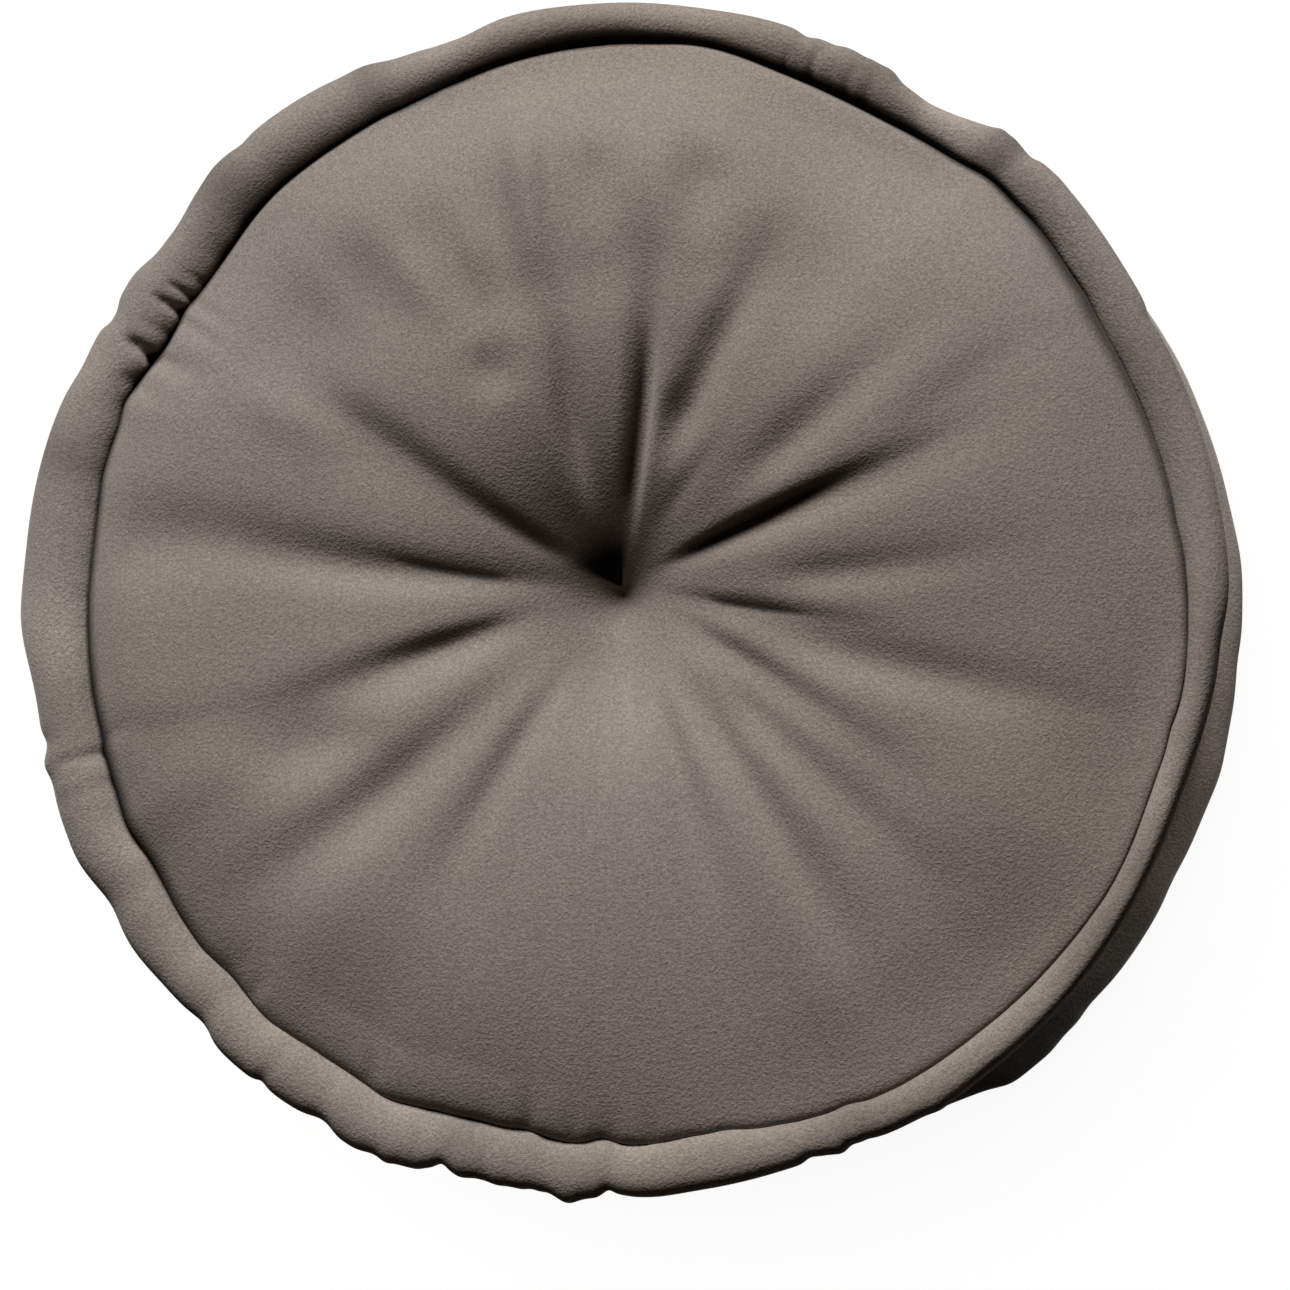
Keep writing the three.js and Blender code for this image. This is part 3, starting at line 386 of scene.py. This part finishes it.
# ---- the side band and the underside ------------------------------------------
def band_point(deg, share, fine=True):
    """share runs from the top roll (0) to the bottom roll (1)."""
    r0, z0 = on_roll(top_roll(deg), BAND_TURN, CLEAR)
    r1, z1 = on_roll(bottom_roll(deg), -BAND_TURN, CLEAR)
    r = r0 + (r1 - r0) * share - BAND_DRAW * np.sin(np.pi * share)
    if fine:
        tall = np.clip(z0 - z1, 1, None)
        for end, seed, size in ((share, 21, 0.55), (1 - share, 22, 0.5)):
            r = r + size * waves(deg, 26, 70, seed) * np.exp(-((end * tall / 17.0) ** 2)) * np.clip(end * tall / 3.0, 0, 1)
        r = r + 0.5 * waves(deg + 6 * share, 7, 22, 23) * np.sin(np.pi * share)
    return at_angle(deg, r, z0 + (z1 - z0) * share)


def under_point(deg, u, fine=True):
    """u runs from the dimple (0) to the bottom seam (1)."""
    r_edge, z_edge = on_roll(bottom_roll(deg), -SEAM_TURN, CLEAR)
    a = np.radians(deg)
    x = DIMPLE_X + (r_edge * np.cos(a) - DIMPLE_X) * u
    y = DIMPLE_Y + (r_edge * np.sin(a) - DIMPLE_Y) * u
    z = z_edge * np.clip((u - 0.88) / 0.12, 0, 1) ** 1.7 + DIMPLE_HIGH * np.exp(-((u / 0.11) ** 2))
    if fine:
        z = z + 0.8 * (1 + waves(deg, 5, 19, 31)) * np.exp(-(((u - 0.16) / 0.09) ** 2)) * np.clip(u / 0.1, 0, 1)
        z = z + 0.35 * (1 + waves(deg, 30, 70, 32)) * np.exp(-(((1 - u) / 0.06) ** 2)) * np.clip((1 - u) / 0.01, 0, 1)
    return np.stack([x, y, np.maximum(z, 0.0)], -1)


# ---- meshes --------------------------------------------------------------------
def grid(sections, rows, place):
    """Points of place(deg, row) for every row and every section, in millimetres."""
    deg = np.arange(sections) * 360.0 / sections
    d, s = np.meshgrid(deg, np.asarray(rows, float))
    return place(d, s)


def new_mesh(name, points, faces):
    mesh = bpy.data.meshes.new(name)
    bm = bmesh.new()
    verts = [bm.verts.new(p) for p in (points * MM).tolist()]
    for f in faces:
        bm.faces.new([verts[i] for i in f])
    bm.normal_update()
    for f in bm.faces:
        f.smooth = True
    bm.to_mesh(mesh)
    bm.free()
    obj = bpy.data.objects.new(name, mesh)
    bpy.context.scene.collection.objects.link(obj)
    return obj


def skin(name, rings, first_pole=None, last_pole=None, closed_across=False):
    """A skin over rings of points (rows, sections, 3), closed over the poles given."""
    rows, sections = rings.shape[:2]
    points = rings.reshape(-1, 3)
    faces = []
    last = rows if closed_across else rows - 1
    for r in range(last):
        a, b = r * sections, ((r + 1) % rows) * sections
        for k in range(sections):
            n = (k + 1) % sections
            faces.append((a + k, b + k, b + n, a + n))
    extra = []
    if first_pole is not None:
        i = len(points) + len(extra)
        extra.append(first_pole)
        faces += [(i, k, (k + 1) % sections) for k in range(sections)]
    if last_pole is not None:
        i = len(points) + len(extra)
        extra.append(last_pole)
        base = (rows - 1) * sections
        faces += [(i, base + (k + 1) % sections, base + k) for k in range(sections)]
    if extra:
        points = np.vstack([points, np.array(extra)])
    return new_mesh(name, points, faces)


def mark_painted_shade(obj, rows):
    """Keep, for every point, how much painted shade darkens its colour (0 to 1): in sewn grooves, the pit and folds
    pressed shut.
    """
    deep = obj.data.attributes.new("painted_groove_shade", "FLOAT", "POINT")
    values = np.zeros(len(obj.data.vertices), np.float32)
    values[:rows.size] = rows.ravel()
    deep.data.foreach_set("value", values)


# nap tone marks along a roll, kept as a nap attribute: partly brushed nap, partly painted light and shade
def mark_nap_and_painted_light(obj, brushed, deg, across):
    nap = obj.data.attributes.new("nap", "FLOAT", "POINT")
    lift = np.zeros(len(deg))
    for d, spread, up in zip(*(brushed[c] for c in ("deg", "spread", "lift"))):
        lift += up * np.exp(-((turn_between(deg, d) / spread) ** 2))
    nap.data.foreach_set("value", np.tile(lift, across).astype(np.float32))


def spread_rows(count, start, end, pull=0.45):
    """Rows from start to end, closer together at both ends."""
    s = np.linspace(0, 1, count)
    s = (1 - pull) * s + pull * (1 - np.cos(np.pi * s)) / 2
    return start + (end - start) * s


# ---- the cloth settles: a coarse copy of the whole cover, blown up a little ------
SIM_SECTIONS = 120
SIM_TOP = spread_rows(22, 0.05, 1.0)
SIM_BAND = np.linspace(0, 1, 12)
SIM_UNDER = spread_rows(14, 1.0, 0.06)


def settled():
    """How far the cover's cloth moves when it is filled, as grids of top, band and underside."""
    top = grid(SIM_SECTIONS, SIM_TOP, lambda d, s: top_point(d, s, False))
    turns = np.linspace(SEWN_TURN, BAND_TURN, 4)[:-1]
    upper = grid(SIM_SECTIONS, turns, lambda d, t: at_angle(d, *on_roll(top_roll(d), t, CLEAR)))
    band = grid(SIM_SECTIONS, SIM_BAND, lambda d, s: band_point(d, s, False))
    lower = grid(SIM_SECTIONS, -turns[::-1], lambda d, t: at_angle(d, *on_roll(bottom_roll(d), t, CLEAR)))
    under = grid(SIM_SECTIONS, SIM_UNDER, lambda d, s: under_point(d, s, False))
    parts = [top, upper, band, lower, under]
    rings = np.vstack(parts)
    first = top_point(np.array(0.0), np.array(0.0), False)
    last = under_point(np.array(0.0), np.array(0.0), False)
    obj = skin("cover_for_settling", rings, first, last)
    count = len(rings) * SIM_SECTIONS
    hold = np.zeros(count + 2)
    hold[count:] = 1.0
    starts = np.cumsum([0] + [len(p) for p in parts])
    rows = np.zeros(len(rings))
    rows[starts[0]:starts[1]] = 0.35
    rows[starts[0]:starts[0] + 3] = 1.0
    rows[starts[1] - 1:starts[2] + 1] = 1.0
    rows[starts[3] - 1:starts[4] + 1] = 1.0
    rows[starts[4] + 2:starts[5]] = 0.8
    hold[:count] = np.repeat(rows, SIM_SECTIONS)
    group = obj.vertex_groups.new(name="hold")
    for weight in sorted(set(hold.tolist())):
        if weight > 0:
            group.add([int(i) for i in np.where(hold == weight)[0]], weight, "REPLACE")
    cloth = obj.modifiers.new("Cloth", "CLOTH")
    c = cloth.settings
    c.quality = 6
    c.mass = 0.3
    c.tension_stiffness = c.compression_stiffness = 25.0
    c.shear_stiffness = 10.0
    c.bending_stiffness = 0.4
    c.tension_damping = c.compression_damping = c.shear_damping = 8.0
    c.air_damping = 2.0
    c.vertex_group_mass = "hold"
    c.pin_stiffness = 2.0
    c.use_pressure = True
    c.uniform_pressure_force = 4.0
    c.shrink_min = -0.012
    c.effector_weights.gravity = 0.0
    cloth.collision_settings.use_self_collision = False
    cloth.point_cache.frame_start, cloth.point_cache.frame_end = 1, 20
    scene = bpy.context.scene
    for f in range(1, 21):
        scene.frame_set(f)
        bpy.context.view_layer.update()
    evaluated = obj.evaluated_get(bpy.context.evaluated_depsgraph_get())
    moved = np.empty(len(obj.data.vertices) * 3, np.float32)
    evaluated.data.vertices.foreach_get("co", moved)
    rest = np.empty(len(obj.data.vertices) * 3, np.float32)
    obj.data.vertices.foreach_get("co", rest)
    shift = ((moved - rest).reshape(-1, 3) / MM).astype(float)
    bpy.data.objects.remove(obj)
    scene.frame_set(1)
    if not np.isfinite(shift).all():
        raise RuntimeError("the cloth did not settle")
    shift = shift[:count].reshape(-1, SIM_SECTIONS, 3)
    return shift[starts[0]:starts[1]], shift[starts[2]:starts[3]], shift[starts[4]:starts[5]]


def capped(shift, most):
    """The same shifts, none longer than most."""
    size = np.linalg.norm(shift, axis=-1, keepdims=True)
    return shift * (most * np.tanh(size / most) / np.maximum(size, 1e-9))


def calmed(shift, passes):
    """The same shifts, each evened out with its neighbours."""
    for _ in range(passes):
        rows = np.concatenate([shift[:1], shift, shift[-1:]])
        shift = 0.5 * shift + 0.25 * (rows[:-2] + rows[2:])
        shift = 0.5 * shift + 0.25 * (np.roll(shift, 1, 1) + np.roll(shift, -1, 1))
    return shift


def carried(shift, at_rows, sections, rows):
    """Shifts of the coarse cover read off at the fine rows and sections."""
    order = np.argsort(at_rows)
    xs, vs = np.asarray(at_rows)[order], shift[order]
    fine_rows = np.stack([np.stack([np.interp(rows, xs, vs[:, k, c]) for c in range(3)], -1) for k in range(vs.shape[1])], 1)
    deg = np.arange(sections) * 360.0 / sections
    at = deg / 360.0 * vs.shape[1]
    k = np.floor(at).astype(int)
    t = (at - k)[None, :, None]
    n = vs.shape[1]
    p = [fine_rows[:, (k + j) % n] for j in (-1, 0, 1, 2)]
    return p[1] + 0.5 * t * (p[2] - p[0] + t * (2 * p[0] - 5 * p[1] + 4 * p[2] - p[3] + t * (3 * (p[1] - p[2]) + p[3] - p[0])))


top_shift, band_shift, under_shift = settled()
for label, shift in (("top", top_shift), ("band", band_shift), ("under", under_shift)):
    size = np.linalg.norm(shift, axis=-1)
    print("settled", label, "mean", round(float(size.mean()), 3), "most", round(float(size.max()), 3))

SECTIONS = 720
top_rows = spread_rows(104, 0.006, 1.0, 0.5)
hidden = np.linspace(0, 1, 6)[1:]
band_turns = np.linspace(222, BAND_TURN, 5)[:-1]
band_rows = spread_rows(46, 0, 1, 0.4)
under_rows = spread_rows(54, 1.0, 0.01, 0.5)

top = grid(SECTIONS, top_rows, top_point)
if top_shift is not None:
    free = ease((1 - SIM_TOP) / 0.2) * ease(SIM_TOP / 0.3)
    top = top + carried(calmed(capped(top_shift, 0.8), 24) * free[:, None, None], SIM_TOP, SECTIONS, top_rows)


def behind_roll(deg, share):
    start = meeting_turn(TOP_ROWS, deg)
    return at_angle(deg, *on_roll(top_roll(deg), start + (SEWN_TURN - start) * share, CLEAR))


tucked = grid(SECTIONS, hidden, behind_roll)
top_panel = skin("top_panel", np.vstack([top, tucked]), top_point(np.array(0.0), np.array(0.0)))
# painted shade: how far the panel's colour is darkened next to its seam, in the pit round the tuft and along the folds
# pressed shut
from_seam = np.concatenate([(1 - top_rows) * 190.0, np.zeros(len(hidden))])[:, None]
section_deg = np.arange(SECTIONS) * 360.0 / SECTIONS
top_painted_shade = along(RIM_ROWS["dark"], section_deg) * ease(1 - from_seam / np.clip(along(RIM_ROWS["reach"], section_deg), 0.5, 9))
top_deg = np.degrees(np.arctan2(top[..., 1] - TUFT_Y, top[..., 0] - TUFT_X))
top_mm = np.hypot(top[..., 0] - TUFT_X, top[..., 1] - TUFT_Y)
pit_painted_shade = ease((PIT_REACH - top_mm) / 12.0) * ease((PIT_SPREAD - np.abs(turn_between(top_deg, PIT_TURN))) / 20.0)
top_painted_shade[:len(top_rows)] = np.maximum(top_painted_shade[:len(top_rows)], np.maximum(pit_painted_shade, shut_fold(top_deg, top_mm, "dark")))
mark_painted_shade(top_panel, top_painted_shade)

upper = grid(SECTIONS, band_turns, lambda d, t: at_angle(d, *on_roll(top_roll(d), t, CLEAR)))
lower = grid(SECTIONS, -band_turns[::-1], lambda d, t: at_angle(d, *on_roll(bottom_roll(d), t, CLEAR)))
band = grid(SECTIONS, band_rows, band_point)
if band_shift is not None:
    band = band + carried(calmed(capped(band_shift, 3.0), 1), SIM_BAND, SECTIONS, band_rows)
side_band = skin("side_band", np.vstack([upper, band, lower]))

under = grid(SECTIONS, under_rows, under_point)
if under_shift is not None:
    moved = carried(capped(under_shift, 2.0), SIM_UNDER, SECTIONS, under_rows)
    moved[..., 2] = np.maximum(moved[..., 2], -under[..., 2])
    under = under + moved
tucked_under = grid(SECTIONS, -np.linspace(SEAM_TURN, SEWN_TURN, 6)[:0:-1], lambda d, t: at_angle(d, *on_roll(bottom_roll(d), t, CLEAR)))
bottom_panel = skin("bottom_panel", np.vstack([tucked_under, under]), None, under_point(np.array(0.0), np.array(0.0)))


# ---- the rolled edges ------------------------------------------------------------
def roll_point(roll, creases, seed):
    def place(turn, deg):
        r, z, wide, high, lean, oval, nip = roll(deg)
        pinch = np.zeros(np.shape(turn))
        if creases is not None:
            for d, spread, deep, start, end, slant in zip(*(creases[c] for c in ("deg", "spread", "deep", "turn_from", "turn_to", "slant"))):
                middle, reach = (start + end) / 2, (end - start) / 2
                t = turn_between(turn, middle)
                window = ease((1.25 - np.abs(t) / reach) / 0.5)
                pinch = pinch + deep * window * np.exp(-((turn_between(deg, d + slant * t / reach) / spread) ** 2))
        near_seam = np.exp(-((turn_between(turn, SEAM_TURN) / 34.0) ** 2))
        pinch = pinch + 0.006 * near_seam * waves(deg, 45, 110, seed)
        pinch = pinch - 0.010 * waves(deg + 0.03 * turn, 9, 34, seed + 1)
        k = 1 - pinch
        across, up = bent(np.cos(np.radians(turn)), oval), bent(np.sin(np.radians(turn)), oval)
        return at_angle(deg, r + k * wide * across + nipped(nip, across), z + k * (high * up + lean * across))
    return place


def roll_skin(name, roll, rows, creases, seed, sections=1440, across=30):
    turns = np.arange(across) * 360.0 / across
    deg = np.arange(sections) * 360.0 / sections
    t, d = np.meshgrid(turns, deg, indexing="ij")
    rings = roll_point(roll, creases, seed)(t, d)
    obj = skin(name, rings[::-1], closed_across=True)
    # painted shade: the top roll's colour darkened on its flank by the panel's groove, the bottom roll's from its inner
    # side round under it
    if "meet" in rows:
        start = meeting_turn(rows, d)
        flank = np.clip(along(RIM_ROWS["flank"], d), 1, 60)
        deep = along(RIM_ROWS["dark"], d) * ease((t - start + flank) / (0.4 * flank + 4.0)) * (t < 300)
    else:
        deep = ease((t - 110.0) / 60.0) * ease((300.0 - t) / 60.0)
    mark_painted_shade(obj, deep[::-1])
    mark_nap_and_painted_light(obj, ROLL_NAP_AND_PAINTED_LIGHT if creases is not None else BOTTOM_NAP_AND_PAINTED_SHADE, deg, across)
    return obj


top_edge = roll_skin("top_rolled_edge", top_roll, TOP_ROWS, CREASES, 41)
bottom_edge = roll_skin("bottom_rolled_edge", bottom_roll, BOTTOM_ROWS, None, 51, sections=1080, across=24)


# ---- velour ------------------------------------------------------------------------
def velour(name, tone, grain=1.0):
    mat = bpy.data.materials.new(name)
    mat.use_nodes = True
    nodes, links = mat.node_tree.nodes, mat.node_tree.links
    nodes.clear()
    out = nodes.new("ShaderNodeOutputMaterial")
    cloth = nodes.new("ShaderNodeBsdfPrincipled")
    links.new(cloth.outputs["BSDF"], out.inputs["Surface"])
    cloth.inputs["Roughness"].default_value = 0.92
    cloth.inputs["Specular IOR Level"].default_value = 0.15
    cloth.inputs["Sheen Roughness"].default_value = 0.45
    cloth.inputs["Sheen Tint"].default_value = (1.0, 0.95, 0.9, 1.0)
    place = nodes.new("ShaderNodeTexCoord")

    def noise(scale, detail, rough=0.55):
        n = nodes.new("ShaderNodeTexNoise")
        n.inputs["Scale"].default_value = scale
        n.inputs["Detail"].default_value = detail
        n.inputs["Roughness"].default_value = rough
        links.new(place.outputs["Object"], n.inputs["Vector"])
        return n

    nap = noise(900.0, 2.0)
    pile = noise(1900.0, 1.0)
    brushed = noise(24.0, 3.0)
    broad = noise(6.0, 2.0)

    def spread(source, low, high):
        m = nodes.new("ShaderNodeMapRange")
        m.inputs["From Min"].default_value = 0.25
        m.inputs["From Max"].default_value = 0.75
        m.inputs["To Min"].default_value = low
        m.inputs["To Max"].default_value = high
        links.new(source.outputs["Fac"], m.inputs["Value"])
        return m

    def times(a, b):
        m = nodes.new("ShaderNodeMath")
        m.operation = "MULTIPLY"
        links.new(a.outputs[0], m.inputs[0])
        links.new(b.outputs[0], m.inputs[1])
        return m

    value = times(times(spread(nap, 1 - 0.22 * grain, 1 + 0.22 * grain), spread(pile, 1 - 0.24 * grain, 1 + 0.24 * grain)), times(spread(brushed, 0.975, 1.025), spread(broad, 0.985, 1.015)))
    dark = nodes.new("ShaderNodeMix")
    dark.data_type = "RGBA"
    dark.inputs["A"].default_value = (tone[0] * 0.985, tone[1] * 1.0, tone[2] * 1.03, 1)
    dark.inputs["B"].default_value = (tone[0] * 1.015, tone[1] * 1.0, tone[2] * 0.95, 1)
    links.new(spread(broad, 0.0, 1.0).outputs[0], dark.inputs["Factor"])
    # painted shade: the groove shade attribute darkens the base colour down to a fiftieth and dims the sheen with it
    painted_groove_shade = nodes.new("ShaderNodeAttribute")
    painted_groove_shade.attribute_name = "painted_groove_shade"
    painted_shade_factor = nodes.new("ShaderNodeMapRange")
    painted_shade_factor.inputs["To Min"].default_value = 1.0
    painted_shade_factor.inputs["To Max"].default_value = 0.02
    links.new(painted_groove_shade.outputs["Fac"], painted_shade_factor.inputs["Value"])
    value = times(value, painted_shade_factor)
    sheen = nodes.new("ShaderNodeMath")
    sheen.operation = "MULTIPLY"
    sheen.inputs[1].default_value = 0.2
    links.new(painted_shade_factor.outputs[0], sheen.inputs[0])
    links.new(sheen.outputs[0], cloth.inputs["Sheen Weight"])
    # the nap attribute multiplies the base colour: brushed-nap tone marks mixed with painted light and shade along the
    # rolls
    nap_and_painted_light = nodes.new("ShaderNodeAttribute")
    nap_and_painted_light.attribute_name = "nap"
    nap_and_painted_light_factor = nodes.new("ShaderNodeMath")
    nap_and_painted_light_factor.operation = "ADD"
    nap_and_painted_light_factor.inputs[1].default_value = 1.0
    links.new(nap_and_painted_light.outputs["Fac"], nap_and_painted_light_factor.inputs[0])
    value = times(value, nap_and_painted_light_factor)
    shade = nodes.new("ShaderNodeVectorMath")
    shade.operation = "SCALE"
    links.new(dark.outputs["Result"], shade.inputs[0])
    links.new(value.outputs[0], shade.inputs["Scale"])
    links.new(shade.outputs[0], cloth.inputs["Base Color"])
    bump_fine = nodes.new("ShaderNodeBump")
    bump_fine.inputs["Strength"].default_value = 0.8 * grain
    bump_fine.inputs["Distance"].default_value = 0.0004
    links.new(nap.outputs["Fac"], bump_fine.inputs["Height"])
    bump_pile = nodes.new("ShaderNodeBump")
    bump_pile.inputs["Strength"].default_value = 0.6 * grain
    bump_pile.inputs["Distance"].default_value = 0.0002
    links.new(pile.outputs["Fac"], bump_pile.inputs["Height"])
    links.new(bump_fine.outputs["Normal"], bump_pile.inputs["Normal"])
    links.new(bump_pile.outputs["Normal"], cloth.inputs["Normal"])
    return mat


COVER = (0.223, 0.189, 0.165)
panel_cloth = velour("velour_panel", COVER)
band_cloth = velour("velour_band", COVER)
roll_cloth = velour("velour_roll", tuple(c * 1.03 for c in COVER))

for obj, mat in ((top_panel, panel_cloth), (side_band, band_cloth), (bottom_panel, panel_cloth), (top_edge, roll_cloth), (bottom_edge, roll_cloth)):
    obj.data.materials.append(mat)
    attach(obj, "root")
for obj in (top_panel, side_band, bottom_panel):
    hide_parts("body")
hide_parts("top_roll")
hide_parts("bottom_roll")

# ---- floor, light, camera -------------------------------------------------------------
floor_mesh = bpy.data.meshes.new("floor")
bm = bmesh.new()
bmesh.ops.create_grid(bm, x_segments=8, y_segments=8, size=6.0)
bm.to_mesh(floor_mesh)
bm.free()
floor = bpy.data.objects.new("floor", floor_mesh)
bpy.context.scene.collection.objects.link(floor)
floor.location = (0, 0, -0.0002)
paint = bpy.data.materials.new("pale_floor")
paint.use_nodes = True
paint.node_tree.nodes["Principled BSDF"].inputs["Base Color"].default_value = (0.92, 0.92, 0.92, 1)
paint.node_tree.nodes["Principled BSDF"].inputs["Roughness"].default_value = 0.95
paint.node_tree.nodes["Principled BSDF"].inputs["Specular IOR Level"].default_value = 0.1
floor_mesh.materials.append(paint)

KEY_AZ, KEY_EL = 98.0, 35.0


def distant_light(name, azimuth, elevation, energy, angle):
    lamp = bpy.data.lights.new(name, "SUN")
    lamp.energy = energy
    lamp.angle = math.radians(angle)
    obj = bpy.data.objects.new(name, lamp)
    bpy.context.scene.collection.objects.link(obj)
    az, el = math.radians(azimuth), math.radians(elevation)
    toward = Vector((math.cos(el) * math.cos(az), math.cos(el) * math.sin(az), math.sin(el)))
    obj.rotation_mode = "QUATERNION"
    obj.rotation_quaternion = toward.to_track_quat("Z", "Y")
    return obj


def light_only(lamp, name, objects):
    """lamp lights these objects and nothing else."""
    group = bpy.data.collections.new(name)
    for o in objects:
        group.objects.link(o)
    lamp.light_linking.receiver_collection = group


soft_pieces = [top_panel, side_band, bottom_panel, top_edge, bottom_edge]
key = distant_light("key", KEY_AZ, KEY_EL, 4.85, 18)
light_only(key, "lit_by_key", soft_pieces)
fill = distant_light("side_fill", 48.0, 18.0, 1.6, 34)
light_only(fill, "lit_by_fill", [side_band, bottom_panel, bottom_edge])
far_fill = distant_light("far_fill", 222.0, 12.0, 1.8, 50)
light_only(far_fill, "lit_by_far_fill", [side_band, bottom_panel])
wash = distant_light("floor_wash", 0.0, 90.0, 3.1, 1)
wash.data.use_shadow = False
light_only(wash, "lit_by_wash", [floor])
soft = distant_light("floor_shade", KEY_AZ, 72.0, 0.35, 75)
light_only(soft, "lit_by_shade", [floor])
floor.visible_diffuse = False

world = bpy.data.worlds.new("studio")
world.use_nodes = True
world.node_tree.nodes["Background"].inputs["Color"].default_value = (1.0, 0.80, 0.64, 1)
world.node_tree.nodes["Background"].inputs["Strength"].default_value = 0.016
bpy.context.scene.world = world

cam = bpy.data.cameras.new("camera")
cam.sensor_width = 36.0
cam.lens = 120.788
cam.clip_start, cam.clip_end = 0.05, 20.0
cam_obj = bpy.data.objects.new("camera", cam)
bpy.context.scene.collection.objects.link(cam_obj)
forward = Vector((-0.19537, 0.07111, -0.97815)).normalized()
right = forward.cross(Vector((0, 1, 0))).normalized()
up = right.cross(forward)
cam_obj.matrix_world = Matrix.Translation((0.29536, -0.11976, 1.54792)) @ Matrix((right, up, -forward)).transposed().to_4x4()
bpy.context.scene.camera = cam_obj
bpy.context.scene.view_settings.view_transform = "Standard"
